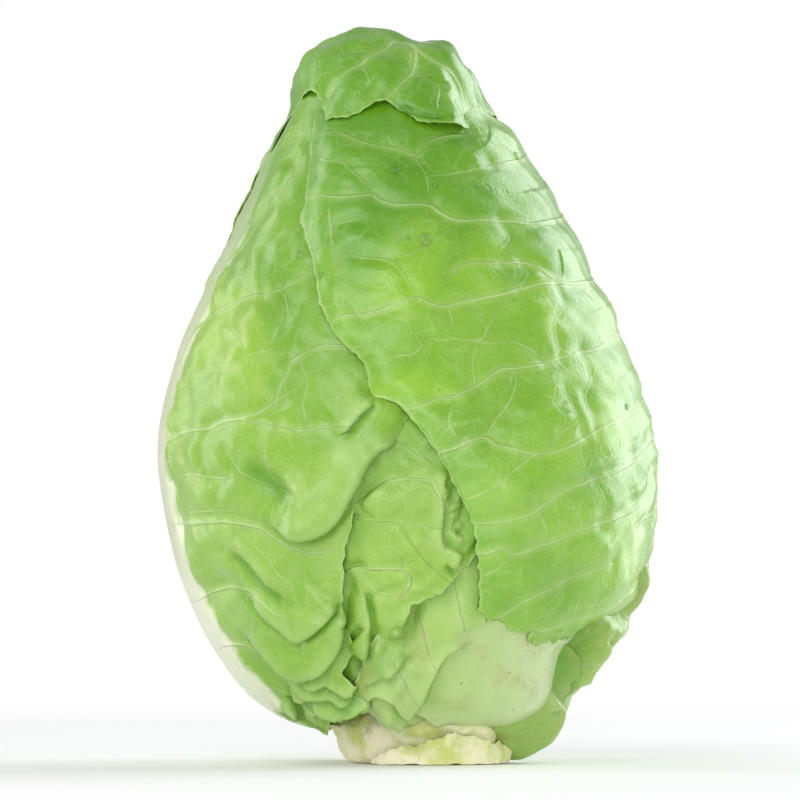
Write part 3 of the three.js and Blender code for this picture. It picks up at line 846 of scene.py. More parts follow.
LEFT_NET = [
    [(-43.8, 140.5), (-43.2, 150.3), (-42, 153.9), (-40.2, 156.9), (-37.8, 159.6), (-33.6, 161.1)],
    [(-64.5, 117), (-60.9, 118.2), (-56.4, 117.9), (-51.9, 118.8), (-48.9, 121.5), (-45.9, 122.7),
     (-38, 124.5)],
    [(-54.9, 94.5), (-50.4, 87.9), (-44.4, 84.3), (-38.4, 81.9), (-32.4, 78.9)],
    [(-71, 85), (-65.4, 86.7), (-59.4, 85.8), (-53.4, 85.5)],
    [(-50.4, 69.9), (-45.9, 65.4), (-41.4, 60.9), (-37.5, 56.4), (-34.5, 53.4)],
    [(-66.9, 75.1), (-60.9, 75.5), (-54.9, 75.8), (-48.9, 75)],
    [(-52, 138.7), (-53, 131), (-49, 126), (-49, 121.5)],
    [(-57, 118), (-58, 111), (-56, 103)],
    [(-33, 122), (-30, 115), (-31, 108), (-30, 100)],
    [(-55, 85.5), (-57, 79), (-56, 73)],
    [(-60, 101), (-62, 94), (-60, 86)],
    [(-47, 156), (-50, 147), (-47, 140.5)],
    [(-38, 142.5), (-36, 135), (-39, 128)],
    [(-40, 82.5), (-43, 90), (-41, 101.5)],
]

PETIOLE_FRONT = [
    (-28.8, 11.4), (-33.9, 13.3), (-36.3, 17.4), (-39.4, 21.9), (-43.4, 26.4), (-47.9, 30.4), (-51.4, 35.4),
    (-54.5, 40.3), (-58, 45.9), (-60.9, 51.9), (-63.9, 59.4), (-66.8, 68.4), (-69.3, 75.9), (-70.5, 84.9),
    (-71.3, 93.9), (-70.6, 102.9), (-68.4, 113.4), (-64.9, 125.4), (-58.9, 138.9), (-55.9, 146.4),
    (-48.4, 161.4), (-45, 170), (-40, 184),
]
PETIOLE_BACK = [
    [-124, 12], [-124, 20], [-122, 35], [-119, 50], [-114, 65], [-108, 80], [-104, 95], [-101, 110],
    [-99, 130], [-97, 150], [-96, 170], [-95, 190],
]

SWOOSH = [(0.6, 98.1), (-3.9, 96.9), (-8.4, 95.1), (-11.4, 92.4), (-13.8, 88.5), (-15.6, 84.3), (-18, 79.8),
          (-20.1, 75.9), (-22.8, 72.3), (-26.4, 69.9), (-30.9, 68.8), (-35.4, 69.3), (-39, 70.8), (-42, 72.6)]
TUCK = [(-9.5, 108.8), (-13.8, 105.3), (-15.9, 102.9), (-18.3, 99.9), (-21.6, 97.5)]
UPPER_PLEAT = [(-21.3, 48.9), (-23.4, 45.9), (-26.4, 42.9), (-29.4, 40.5), (-32.4, 39.6), (-36.9, 42.6),
               (-41.4, 45.6), (-45.9, 48.6), (-50.4, 51.9)]
LOWER_PLEAT = [(-20.1, 46.3), (-20.1, 39.9), (-21, 36), (-22.8, 33.3), (-25.5, 30.6), (-28.8, 29.1),
               (-32.4, 28.5), (-35.4, 30.3), (-38.4, 32.7), (-42, 35.1), (-45.9, 36.9), (-49.5, 39.6)]
FRILLS = [
    [(-13.8, 30.3), (-15, 26.1), (-16.8, 23.4), (-20.4, 24), (-23.4, 25.8), (-27, 25.5), (-30, 26.4),
     (-32.4, 28.5)],
    [(-18.9, 18), (-21, 18.9), (-24.9, 19.5), (-27.9, 21.3), (-31.8, 21), (-34.5, 22.5), (-36.9, 24.6)],
    [(-12.6, 21.9), (-12, 18.9), (-13.8, 16.4), (-18.9, 15.2), (-23.4, 16.2), (-26.4, 17.1), (-29.4, 15.9)],
    [(-14.4, 22.5), (-19.5, 21.3), (-24.3, 22.5), (-30.6, 22.9), (-34.5, 26.5), (-39.3, 29.8), (-44.4, 34.8)],
    [(-12.6, 19.5), (-15.6, 19.6), (-21.9, 18.6), (-27, 19.3), (-32.4, 19.9), (-36, 22)],
    [(-36.9, 20.9), (-33.3, 18), (-31.6, 15)],
]
SLANT_GROOVE = [(-54.9, 63.9), (-50.4, 60), (-45.9, 55.5), (-41.4, 51.9), (-35.4, 48)]

MIDDLE_RIBS = [
    [(-15, 78), (-11.4, 81.3), (-8.4, 83.4), (-4.8, 84.9), (0.6, 85.2), (6.6, 84.9), (7.8, 82.8), (9, 79.8),
     (9.6, 75.9), (9.9, 69.9), (10.5, 65.4)],
    [(-19.5, 56.4), (-17.4, 57.6), (-12.9, 58.2), (-8.4, 57.9), (-2.4, 57.9), (0.6, 54.9), (-0.3, 51.9),
     (-2.4, 49.5)],
    [(-14, 95), (-8, 97), (-1, 96), (6, 91)],
]
MIDDLE_NET = [
    [(-15.3, 73.2), (-9.9, 72.9), (-3.9, 72.6), (2.1, 71.4), (9.6, 70.5)],
    [(-2.4, 57.9), (-0.3, 60.3), (3, 61.5), (6.6, 63.9)],
    [(-13.5, 56.4), (-11.4, 52.5), (-8.4, 50.4), (-2.4, 49.5)],
    [(-4, 72.6), (-6, 66), (-4, 58)],
    [(0.6, 85), (-1, 79), (1, 72)],
]
MIDDLE_LIP = [(-15, 77), (-11.4, 80.6), (-8.4, 82.8), (-5, 84)]
MIDDLE_FOLDS = [
    # the dark creases low in the window, each with its height
    ([(-13.5, 52), (-12.9, 47.5), (-11.7, 42), (-12, 36), (-13, 30)], 2.6),
    ([(-21, 31.5), (-17, 35.5), (-14.5, 39), (-13, 42)], 1.6),
    ([(-19.5, 57), (-17.5, 57.6), (-15, 58), (-12, 58)], 1.2),
]
CRUMPLES = [
    # the crumpled tear by the right leaf's margin
    [(11.4, 88), (10.9, 84.6), (10.5, 76.2), (10.1, 68.3), (11.5, 65), (14.3, 63.5), (17.5, 62)],
    [(12.8, 84), (12.6, 81), (13.4, 74.7), (13, 70.4), (15, 68.4), (18, 67)],
    [(15.2, 80), (15.8, 76), (15.6, 72.9), (17.5, 70)],
    [(17, 60), (14, 58.6), (11.5, 60.5)],
]
FRONT_RIBS = [[(7, 30), (5, 38), (3, 46)], [(17, 41), (16, 46), (15, 52)], [(3, 19), (-1, 25), (-4, 30)]]
FRONT_NET = [
    [(-2.4, 30.3), (3.9, 30.6), (6.6, 30.9)],
    [(-12.9, 32.4), (-9.9, 33.9), (-6.9, 36), (-3.3, 37.5)],
    [(-13.8, 24), (-9.3, 25.8), (-5.4, 26.1), (-2.4, 27.9)],
]
STALK_EDGE = [(-4, 12.4), (4, 19), (9, 28), (13, 35), (19, 42.5), (28, 46), (40, 47), (52, 43)]
FRONT_STEP = [(21.6, 35.4), (17.1, 34.8), (12.6, 33.6), (9.6, 30.3), (6.6, 25.2), (4.2, 20.7), (2.1, 18),
              (-0.9, 15.9), (-3.3, 13.6)]
FRONT_HOLLOW = [(3.9, 48), (1.8, 42.9), (0.3, 37.8), (-1.5, 32.4)]
FRONT_LIP = [(10, 12.6), (4, 15), (-1, 17.4), (-4, 21), (-9, 22.5), (-12, 21), (-14.5, 18)]
FRONT_PLEAT = [(0, 32.4), (-3, 29.5), (-8, 27), (-13, 25)]
WINDOW_SILL = [(-20, 20), (-14, 27), (-6, 34), (-2, 40), (1, 45.9), (6, 49), (11, 51.3), (14.5, 55)]

TORN_RIBS = [
    [[100, 13], [92, 24], [80, 33], [70, 30]],
    [[101, 30], [94, 42], [84, 47]],
    [[101, 50], [95, 60], [88, 62]],
    [[101, 70], [97, 78], [93, 80]],
]
TORN_FOLDS = [
    # each with its height, its lap and the depth of its groove
    ([[60, 36], [66, 33], [70, 28], [72, 23], [70, 18]], 2.4, 1.0, 0.8),
    ([[74, 40], [78, 35], [79, 30], [83, 27]], 2.0, 0.8, 0.7),
    ([[62, 25], [70, 21], [77, 20], [84, 15]], 1.6, 0.8, 0.7),
]
TORN_STRIP = [[63, 44], [66, 40], [66.5, 35], [69, 31], [69, 26], [70, 21]]

BACK_MIDRIB = [
    [180, 12.5], [180, 60], [180, 110], [180, 150], [180, 180], [180, 198], [178, 208], [100, 213.8],
    [60, 212.5],
]
HOOD_HEM = [(-31.2, 199.2), (-26.4, 195.3), (-21.3, 191.1), (-16.5, 194.1), (-9.6, 195.9), (-2.4, 192),
            (6, 190.5), (16.5, 191)]
HOOD_RIBS = [
    [(2.7, 214.8), (2.7, 210.9), (2.1, 207.3), (0, 204.3), (-1.8, 201.9), (-3.6, 198.9), (-5.4, 196.8)],
    [(2.7, 214.8), (0, 216.6), (-3.9, 216.9), (-6.9, 215.4), (-9.9, 213.3), (-14.4, 210.3), (-18.9, 207.3),
     (-21.9, 204.9), (-24.3, 202.5), (-25.5, 200.1)],
    [(2.7, 214.8), (5.1, 213.3), (9.6, 210.3), (14.1, 207.3), (18, 202), (20, 197)],
]
HOOD_NET = [
    [(-23.4, 212.4), (-17.4, 213.9), (-9.9, 214.2), (-6.9, 215.7)],
    [(2, 207), (7, 204), (11, 199)],
    [(-15, 210), (-12, 204), (-13, 198)],
]


# The leaves. Edges run up on the left and right, and to the right at the bottom and top.

RIGHT_MARGIN = seen([
    (21.6, 45.9), (21.1, 54.9), (20.1, 64.9), (19.4, 72), (12.6, 86), (7.6, 95), (-1.4, 106), (-7.5, 109.4),
    (-11, 110.5), (-13.4, 120), (-19.4, 126), (-25.4, 136), (-28.4, 150), (-32.4, 163), (-31.9, 170),
    (-29.9, 183), (-28.4, 196),
])
UPPER_STRETCH = 6  # the row of that margin from which the left leaf lies under it
LEFT_MARGIN = np.vstack([
    [[-66, 12.4], [-48, 13.6]],
    seen([(-17, 17), (-12, 21), (-19, 28), (-16, 34), (-20, 42), (-19.5, 53), (-19, 64), (-16, 75), (-15, 84),
          (-10, 93), (-3, 99), (1, 108)]),
    [[2, 120], [2, 136], [0, 156], [-5, 180], [-12, 203]],
])


def counts(context, rows, columns):
    """Even numbers of rows and columns, so that the inner face can have half as many."""
    share = math.sqrt(context.scene.cabbage_sizes.detail)
    return [2 * max(round(n * share / 2), 4) for n in (rows, columns)]


def past_right_margin(sheet, middle=0.5):
    """How far, in millimetres, points lie to the right of the upper stretch of the right leaf's margin."""
    azimuth, height = RIGHT_MARGIN[UPPER_STRETCH:].T
    radius = np.hypot(sheet.x - middle, sheet.y)
    return np.radians(sheet.azimuth(middle) - np.interp(sheet.z, height, azimuth)) * radius


def lower_lobe(sheet):
    """How far the right leaf's lower lobe stands off the head, with the torn leaf outside it."""
    heights, reaches = [36, 44, 52, 61, 70, 80, 96], [2.0, 3.0, 3.2, 2.4, 1.5, 0.4, 0]
    return np.interp(sheet.z, heights, reaches) * bell(sheet.azimuth(0) - 88, 30)


def make_right_leaf(context, material):
    sizes = context.scene.cabbage_sizes
    rows, columns = counts(context, rows=290, columns=236)
    edges = {
        "bottom": np.vstack([
            seen([(21.6, 45.9), (25, 42.3), (31, 40.9), (34, 39.2), (37, 39.6)]),
            [[40, 37.4], [44, 36.3], [47, 37.3], [51, 36.5], [55, 38.2], [58, 37.9], [61, 40.8],
             [67, 42.4], [75, 45], [84, 46], [94, 40], [101, 26], [107, 13.5], [118, 12.2], [130, 12.2],
             [142, 12.3]],
        ]),
        "left": RIGHT_MARGIN,
        "right": [
            [142, 12.3], [149, 24], [152, 38], [154, 52], [156, 66], [157, 79], [158, 91], [158, 103],
            [158, 115], [158, 127], [158, 138], [158, 148], [157, 158], [155, 168], [150, 178],
            [138, 190], [115, 203],
        ],
        "top": np.vstack([seen([(-28.4, 196)]), [[0, 205], [60, 206.5], [115, 203]]]),
    }
    sheet = Sheet(edges, spread(rows, 0, 1, 1), spread(columns, 0, 0.6, 1.5))
    hood = smooth(sheet.z, 186, 196)
    calm = mix(0.4, 1, smooth(sheet.rim_gap, 1, 18))
    sheet.veins(right_ribs(), seen_all(RIGHT_NET), quilt=sizes.quilt / MM * (1 - 0.6 * hood), calm=calm)
    sheet.uneven(0.7, 30, seed=3, share=1 - hood)
    sheet.uneven(0.22, 9, seed=4)
    sheet.rise += lower_lobe(sheet) - 1.2 * (1 - smooth(sheet.rim_gap, 0, 7)) - 0.7 * hood
    sheet.rise -= 1.6 * smooth(sheet.z, 92, 130) * smooth(sheet.x, -10, 20)
    half = np.interp(sheet.z, [12, 40, 90, 150, 200], [17, 13, 7, 3.5, 1.5])
    share = sheet.reach_of(RIGHT_MIDRIB) / half
    stalk = 1 - smooth(share + 0.18 * ripples(sheet.base, 9, seed=5), 0.6, 1.15)
    sheet.masks["pale"] = stalk
    sheet.rise += 1.6 * stalk * np.interp(sheet.z, [12, 60, 150], [1, 0.8, 0.3])
    sheet.ridge(seen([(18.6, 72), (13.4, 83), (8.6, 92), (1, 102.6)]), height=0.7, width=1.3)
    # Painted shade under the hood's hem and over the upper middle of the leaf.
    sheet.shade(seen([(x + 1, z - 4) for x, z in HOOD_HEM]), share=0.5, width=6)
    sheet.shade(seen([(-22, 184), (-14, 176), (-5, 172)]), share=0.3, width=22)
    sheet.tatter(0.3 + 0.3 * (1 - smooth(sheet.z, 46, 52))[..., None], 3.5, seed=6)
    return sheet.mesh("right_leaf", material, sizes.blade / MM)


def make_left_leaf(context, material):
    sizes = context.scene.cabbage_sizes
    rows, columns = counts(context, rows=290, columns=252)
    edges = {
        "bottom": [[-142, 12.3], [-104, 12.2], [-66, 12.4]],
        "left": [
            [-142, 12.3], [-143, 18], [-144, 27], [-145, 36], [-147, 46], [-150, 56], [-154, 66], [-158, 76],
            [-160, 86], [-162, 96], [-163, 106], [-164, 116], [-164, 126], [-163, 137], [-160, 149],
            [-155, 161], [-148, 174], [-135, 190], [-120, 202],
        ],
        "right": LEFT_MARGIN,
        "top": [[-120, 202], [-60, 206], [-12, 203]],
    }
    sheet = Sheet(edges, spread(rows, 0, 0.42, 1.4), spread(columns, 0.45, 1, 1.7))
    past = past_right_margin(sheet)
    covered = smooth(past, -1, 4) * smooth(sheet.z, 104, 110)
    pressed = bell(past - 1, 5) * smooth(sheet.z, 104, 110)
    hood = smooth(sheet.z, 190, 198)
    front_side, back_side = sheet.side_of(seen(PETIOLE_FRONT)), sheet.side_of(PETIOLE_BACK)
    ragged = 1.3 * ripples(sheet.base, 10, seed=15) + 0.5 * ripples(sheet.base, 3.5, seed=16)
    stalk = (1 - smooth(front_side + ragged, -1.6, 1.2)) * smooth(back_side + ragged, -1.6, 1.6)
    firm = (1 - smooth(front_side, -4, 0)) * smooth(back_side, 0, 4)
    calm = (1 - 0.75 * covered) * (1 - 0.8 * pressed) * (1 - 0.6 * hood) * (1 - 0.85 * firm)
    sheet.veins(left_ribs(), seen_all(LEFT_NET), quilt=sizes.quilt / MM * 0.9, calm=calm)
    sheet.uneven(0.7, 28, seed=13, share=calm)
    sheet.uneven(0.25, 9, seed=14, share=calm)
    sheet.rise += settled(-LEFT_DEPTH, sheet.z) - 0.9 * covered
    sheet.rise += firm * np.interp(sheet.z, [110, 150], [1.8, 0.3])
    # Its white stays strong up to the middle height: partly the stalk's own colour, partly a painted
    # highlight along the left edge.
    sheet.masks["pale"] = stalk * np.interp(sheet.z, [70, 110, 180], [1, 0.85, 0.25])
    low = 1 - smooth(sheet.z, 60, 120)
    sheet.rise += stalk * np.interp(sheet.z, [12, 60, 100, 150], [1, 0.3, 0, 0])
    sheet.rise += 0.8 * low * smooth(front_side, -0.8, 0.8) * np.exp(-np.maximum(front_side, 0) / 8)
    sheet.step(seen(SWOOSH), height=3.8, width=10, lap=2.4, ends=(9, 12), groove=1.2)
    sheet.ridge(seen([(x - 6, z + 3) for x, z in SWOOSH[3:11]]), height=1.4, width=5)
    sheet.ridge(seen([(-49.5, 91), (-42, 84.5), (-34.5, 78.6)]), height=-1.8, width=4.5)
    sheet.ridge(seen([(-38, 88), (-30, 81), (-26.4, 77)]), height=2.0, width=5)
    sheet.step(seen(TUCK), height=1.8, width=5, lap=1.6, ends=(2, 5), groove=0.5)
    # Painted shade along the right leaf's margin, over the upper middle and in the folds.
    sheet.shade(RIGHT_MARGIN, share=0.45, width=7)
    sheet.shade(seen([(-42, 142), (-35, 130), (-31, 120)]), share=0.35, width=20)
    for path in (SWOOSH, UPPER_PLEAT, LOWER_PLEAT):
        sheet.shade(seen(path), share=0.4, width=4)
    sheet.step(seen(UPPER_PLEAT), height=3.4, width=8, lap=2.2, ends=(3, 14), groove=1.0)
    sheet.step(seen(LOWER_PLEAT), height=3.8, width=7, lap=2.2, ends=(3, 14), groove=1.0)
    for height, path in zip((3.0, 2.6, 2.2, 2.6, 2.4, 2.0), FRILLS):
        sheet.step(seen(path), height=height, width=3.4, lap=1.5, ends=(3, 5), groove=1.2)
    sheet.ridge(seen(SLANT_GROOVE), height=-1.9, width=2.2)
    sheet.ridge(seen([(x + 2.5, z + 3.5) for x, z in SLANT_GROOVE]), height=0.8, width=2.5)
    frill = smooth(sheet.u, 0.75, 1) * (1 - smooth(sheet.z, 34, 46))
    sheet.rise += frill * (0.6 + 1.3 * ripples(sheet.base, 8, seed=17))
    sheet.rise -= 0.8 * (1 - smooth(sheet.rim_gap, 0, 4)) * smooth(sheet.z, 46, 60)
    sheet.tatter(0.35, 3.5, seed=18)
    return sheet.mesh("left_leaf", material, sizes.blade / MM)


def back_veins():
    ribs = [(seen_on_hood(path), (1, 0.55)) for path in HOOD_RIBS]
    net = [seen_on_hood(path) for path in HOOD_NET]
    lows = (28, 46, 64, 82, 100, 118, 136, 154, 171, 186)
    for low in lows:
        for way in (-1, 1):
            path = [[180, low + way], *back_side_rib(low, way), [180 + 78 * way, low + 22]]
            ribs.append((path, (1.3, 0.6)))
    for way in (-1, 1):
        net += links([back_side_rib(low, way) for low in lows[1:-1]], gap=12, seed=31 + way)
    ribs.append((BACK_MIDRIB, (3.0, 1.2)))
    return ribs, net


def back_side_rib(low, way):
    """The middle stretch of a side rib; way is 1 or -1, for the two sides of the midrib."""
    return [[180 + 10 * way, low + 9], [180 + 26 * way, low + 17], [180 + 46 * way, low + 21]]


def make_back_leaf(context, material):
    sizes = context.scene.cabbage_sizes
    rows, columns = counts(context, rows=300, columns=190)
    edges = {
        "bottom": [[134, 12.3], [180, 12.2], [226, 12.3]],
        "left": [
            [134, 12.3], [138, 26], [139, 42], [138, 60], [134, 80], [131, 100], [128, 120], [126, 138],
            [124, 154], [122, 168], [118, 181], [102, 191], [78, 195.5], [56, 194.5], [40, 189.3],
        ],
        "right": [
            [226, 12.3], [222, 26], [221, 42], [225, 60], [230, 80], [236, 100], [242, 120], [248, 138],
            [255, 154], [262, 169], [268, 183], [276, 194], [292, 199.5], [311, 200], [325, 191.4],
        ],
        "top": [
            [40, 189.3], [32, 189.4], [22, 189.5], [12, 190.5], [3, 195], [-5, 196.5], [-14, 194],
            [-24, 191.8], [-35, 191.4],
        ],
    }
    sheet = Sheet(edges, spread(rows, 0.62, 1, 1.6), spread(columns, 0, 1, 1), "crown")
    sheet.veins(*back_veins(), quilt=sizes.quilt / MM * 0.95)
    front = smooth(-sheet.y, -8, 8) * smooth(sheet.z, 180, 190)
    sheet.uneven(0.8, 26, seed=23)
    sheet.uneven(0.3, 8, seed=24)
    # Its margins lie down on the left leaf on one side and on the right leaf on the other.
    lain = mix(-1.7, 0.8, smooth(sheet.x, -34, -27))
    sides = smooth(np.abs(sheet.x + 4), 12, 32) * smooth(sheet.z, 110, 150) * (1 - smooth(sheet.z, 196, 204))
    away = mix(2.2, -0.4, sides)
    sheet.rise += mix(settled(1, sheet.z) * lain, settled(1, sheet.z) * away, smooth(sheet.rim_gap, 0, 13))
    sheet.rise -= 3.0 * smooth(sheet.x, 8, 22) * smooth(sheet.z, 184, 194) * (1 - smooth(sheet.z, 208, 214))
    peak = 2.2 * bell(np.hypot(sheet.x + 12, sheet.y + 4), 9) * smooth(sheet.z, 200, 210)
    sheet.rise += peak - 1.8 * smooth(sheet.z, 210, 215) * smooth(sheet.x, -8, 4)
    half = np.interp(sheet.z, [12, 40, 90, 150, 200], [21, 17, 10, 5, 2.4])
    share = sheet.reach_of(BACK_MIDRIB) / half
    stalk = (1 - smooth(share + 0.16 * ripples(sheet.base, 9, seed=25), 0.6, 1.1)) * (1 - front)
    sheet.masks["pale"] = stalk
    sheet.rise += 2.2 * stalk * np.interp(sheet.z, [12, 60, 150, 200], [1, 0.9, 0.6, 0.3])
    groove = seen_on_hood([(-3.5, 195.6), (0, 194), (4, 192.6), (9, 191.9), (14, 191.6)])
    sheet.ridge(groove, height=-2.2, width=0.9)
    # Painted shade in the hole under the hem.
    sheet.shade(seen_on_hood([(-3.5, 195.6), (1, 194.2)]), share=1, width=1.6)
    sheet.tatter(0.3, 3.5, seed=26)
    return sheet.mesh("back_leaf", material, sizes.blade / MM)


def make_middle_leaf(context, material):
    sizes = context.scene.cabbage_sizes
    rows, columns = counts(context, rows=210, columns=170)
    edges = {
        "bottom": [[-58, 12.5], [-48, 12.4], [-38, 12.5]],
        "left": [[-58, 12.5], [-70, 25], [-78, 40], [-78, 55], [-78, 70], [-74, 85], [-68, 100], [-60, 115],
                 [-50, 128], [-40, 140]],
        "right": np.vstack([
            [[-38, 12.5]],
            seen([*WINDOW_SILL, (18, 58)]),
            [[26, 76], [30, 100], [24, 125]],
        ]),
        "top": [[-40, 140], [-10, 138], [24, 125]],
    }
    sheet = Sheet(edges, spread(rows, 0.08, 0.75, 1.6), spread(columns, 0.5, 1, 1.8))
    inside = smooth(sheet.x, -24, -16) * (1 - smooth(sheet.z, 98, 108))
    calm = mix(0.3, 1, inside)
    sheet.veins(seen_all(MIDDLE_RIBS), seen_all(MIDDLE_NET), quilt=1.3, calm=calm)
    sheet.uneven(0.9, 18, seed=43, share=calm)
    sheet.uneven(0.35, 7, seed=44, share=calm)
    below = (1 - smooth(sheet.z, 40, 50)) * inside
    sheet.uneven(1.2, 9, seed=46, share=below)
    sheet.rise += settled(-MIDDLE_DEPTH, sheet.z) - 0.6 * (1 - inside)
    sheet.rise -= 1.2 * smooth(sheet.x, -14, -6) * below
    sheet.step(seen(MIDDLE_LIP), height=1.6, width=6, lap=1.0, ends=(2, 4))
    for path, height in MIDDLE_FOLDS:
        sheet.step(seen(path), height=height, width=5, lap=1.2, ends=(3, 4), groove=1.0)
    for path in CRUMPLES:
        sheet.step(seen(path), height=1.9, width=2, lap=0.9, ends=(2, 2), groove=0.9)
    # Painted shade along the margins of the leaves that lie over it, and at the right of the window.
    sheet.shade(LEFT_MARGIN, share=0.75, width=8)
    sheet.shade(RIGHT_MARGIN, share=0.7, width=6)
    sheet.shade(seen([(19.5, 74), (19.5, 54)]), share=0.9, width=4)
    sheet.ridge(seen([(-15.6, 56.1), (-17.7, 51.3), (-18.9, 45.9), (-19.5, 39.9)]), height=-2.0, width=2)
    margin = 1 - smooth(sheet.rim_gap, 0, 5)
    sheet.rise += margin * (0.5 * ripples(sheet.base, 7, seed=45) - 0.5)
    # Painted shade over the top of the window, under the leaves that lap over it.
    sheet.mark("painted_shade", 0.8 * smooth(sheet.z, 74, 104))
    sheet.tatter(0.35, 3, seed=47)
    return sheet.mesh("middle_leaf", material, sizes.blade / MM)


def make_front_leaf(context, material):
    sizes = context.scene.cabbage_sizes
    rows, columns = counts(context, rows=190, columns=180)
    edges = {
        "bottom": [[0, 12.5], [32, 12.4], [62, 12.5]],
        "left": [[0, 12.5], [-9, 13.4], [-17, 17.5], [-19, 22.8], [-13.5, 30.3], [-10, 36.3], [-3.5, 41],
                 [-7, 50], [-16, 62], [-18, 80], [-15, 98]],
        "right": [[62, 12.5], [74, 18], [80, 27], [82, 38], [82, 51], [80, 66], [72, 82], [60, 98]],
        "top": [[-15, 98], [22, 102], [60, 98]],
    }
    sheet = Sheet(edges, spread(rows, 0, 0.6, 2.2), spread(columns, 0, 0.5, 1.4))
    azimuth = sheet.azimuth(3)
    inside = 1 - smooth(sheet.z, 52, 64)
    stalk = smooth(sheet.side_of(seen(STALK_EDGE)) + 1.5 * ripples(sheet.base, 12, seed=53), -3, 9)
    flap = smooth(-sheet.x, -6, 5) * (1 - smooth(sheet.z, 37, 46))
    swell = bell(azimuth - 48, 33) * (1 - smooth(sheet.z, 48, 84)) * smooth(sheet.z, 8, 19)
    calm = mix(0.3, 1, inside)
    ribs = [(path, (0.5, 0.4)) for path in seen_all(FRONT_RIBS)]
    sheet.veins(ribs, seen_all(FRONT_NET), quilt=0.9, calm=calm * (1 - smooth(stalk, 0, 0.7)))
    sheet.uneven(0.6, 16, seed=51, share=calm)
    sheet.rise += settled(-FRONT_DEPTH, sheet.z) + 6.2 * swell + 3.6 * flap
    sheet.uneven(0.8, 7, seed=54, share=flap)
    sheet.slide[..., 2] -= 1.6 * (1 - smooth(sheet.z, 12, 18))
    sheet.step(seen(FRONT_STEP), height=3.0, width=8, lap=1.6, ends=(9, 3), groove=0.8)
    sheet.ridge(seen(FRONT_HOLLOW), height=-3.0, width=2.8)
    sheet.step(seen(FRONT_LIP), height=1.8, width=4, lap=1.2, ends=(3, 3), groove=1.0)
    sheet.step(seen(FRONT_PLEAT), height=1.4, width=5, lap=1.0, ends=(3, 3), groove=0.8)
    # Painted shade under the window's sill, along the right leaf's margin and in the hollow.
    sheet.shade(seen(WINDOW_SILL), share=0.8, width=7)
    sheet.shade(RIGHT_MARGIN, share=0.8, width=6)
    sheet.shade(seen(FRONT_HOLLOW), share=0.9, width=5)
    bottom = (1 - smooth(sheet.z, 13, 21)) * smooth(azimuth, -4, 10)
    # Whiter towards the right: partly the stalk's own white, partly a painted highlight on its bulge.
    sheet.masks["pale"] = np.maximum(stalk * mix(0.4, 1, smooth(azimuth, 18, 52)), 0.9 * bottom)
    sheet.tatter(0.35, 3, seed=55)
    return sheet.mesh("front_leaf", material, sizes.blade / MM)


def make_torn_leaf(context, material):
    sizes = context.scene.cabbage_sizes
    rows, columns = counts(context, rows=220, columns=110)
    edges = {
        "bottom": [[44, 12.6], [72, 12.3], [100, 12.4]],
        "left": [
            [44, 12.6], [48, 15], [52, 18], [56, 21], [58, 24.5], [59, 28], [58, 31.5], [59, 36], [60, 42],
            [64, 48], [72, 53], [80, 57], [86, 62], [89, 69], [91, 78], [94, 88], [93, 93],
        ],
        "right": [
            [100, 12.4], [102, 15], [104, 18], [105, 22], [105, 28], [105, 34], [104, 41], [104, 49],
            [103, 58], [102, 68], [101, 79], [100, 90], [99, 99],
        ],
        "top": [[93, 93], [96, 98], [99, 99]],
    }
    sheet = Sheet(edges, spread(rows, 0, 0.5, 1.3), spread(columns, 0, 1, 1))
    sheet.veins([(path, (1, 0.6)) for path in TORN_RIBS], links(TORN_RIBS, gap=9, seed=61), quilt=1.0)
    sheet.uneven(0.7, 9, seed=62)
    sheet.uneven(0.35, 4, seed=63, share=smooth(sheet.u, 0.5, 0))
    sheet.rise += np.interp(sheet.z, [12, 16, 25, 34, 43, 52, 61, 70, 80, 90, 100],
                            [4.0, 4.0, 2.8, 4.0, 5.2, 5.2, 4.2, 3.4, 2.2, 1.6, 1.2])
    azimuth = sheet.azimuth(2)
    tucked = (1 - smooth(azimuth, 56, 77)) * (1 - smooth(sheet.z, 44, 52))
    under_stalk = -3.4 * smooth(sheet.z, 13, 20) + 0.8 * ripples(sheet.base, 6, seed=64)
    sheet.rise = mix(sheet.rise, under_stalk, tucked)
    sheet.rise = mix(sheet.rise, 0.6, (1 - smooth(azimuth, 82, 89)) * smooth(sheet.z, 42, 47))
    sheet.rise -= 1.6 * (1 - smooth(sheet.rim_gap, 0, 5)) * smooth(sheet.z, 58, 66)
    behind = smooth(azimuth, 94, 102) * smooth(sheet.z, 20, 32)
    sheet.rise = mix(sheet.rise, 2.4 - 1.2 * smooth(sheet.z, 60, 90), behind)
    for path, height, lap, groove in TORN_FOLDS:
        sheet.step(path, height=height, width=4, lap=lap, ends=(3, 3), groove=groove)
    sheet.slide[..., 2] -= 5 * (1 - smooth(sheet.z, 12, 21)) * smooth(sheet.u, 0, 0.25)
    # A paler rim towards the right, and a little paler low down, where painted light lifts the shade under
    # the stalk.
    pale = 0.6 * smooth(azimuth, 80, 96) * (1 - smooth(sheet.z, 30, 70))
    sheet.masks["pale"] = np.maximum(pale, 0.1 * (1 - smooth(sheet.z, 22, 32)))
    sheet.step(TORN_STRIP, height=1.1, width=4, lap=1.0, ends=(3, 3), groove=0.7)
    # Painted shade beside the stalk, which the torn leaf lies behind.
    beside_stalk = (1 - smooth(azimuth, 62, 74)) * smooth(sheet.z, 20, 26)
    sheet.mark("painted_shade", 0.8 * beside_stalk)
    sheet.tatter(0.6, 3.5, seed=65)
    return sheet.mesh("torn_leaf", material, sizes.blade / MM)


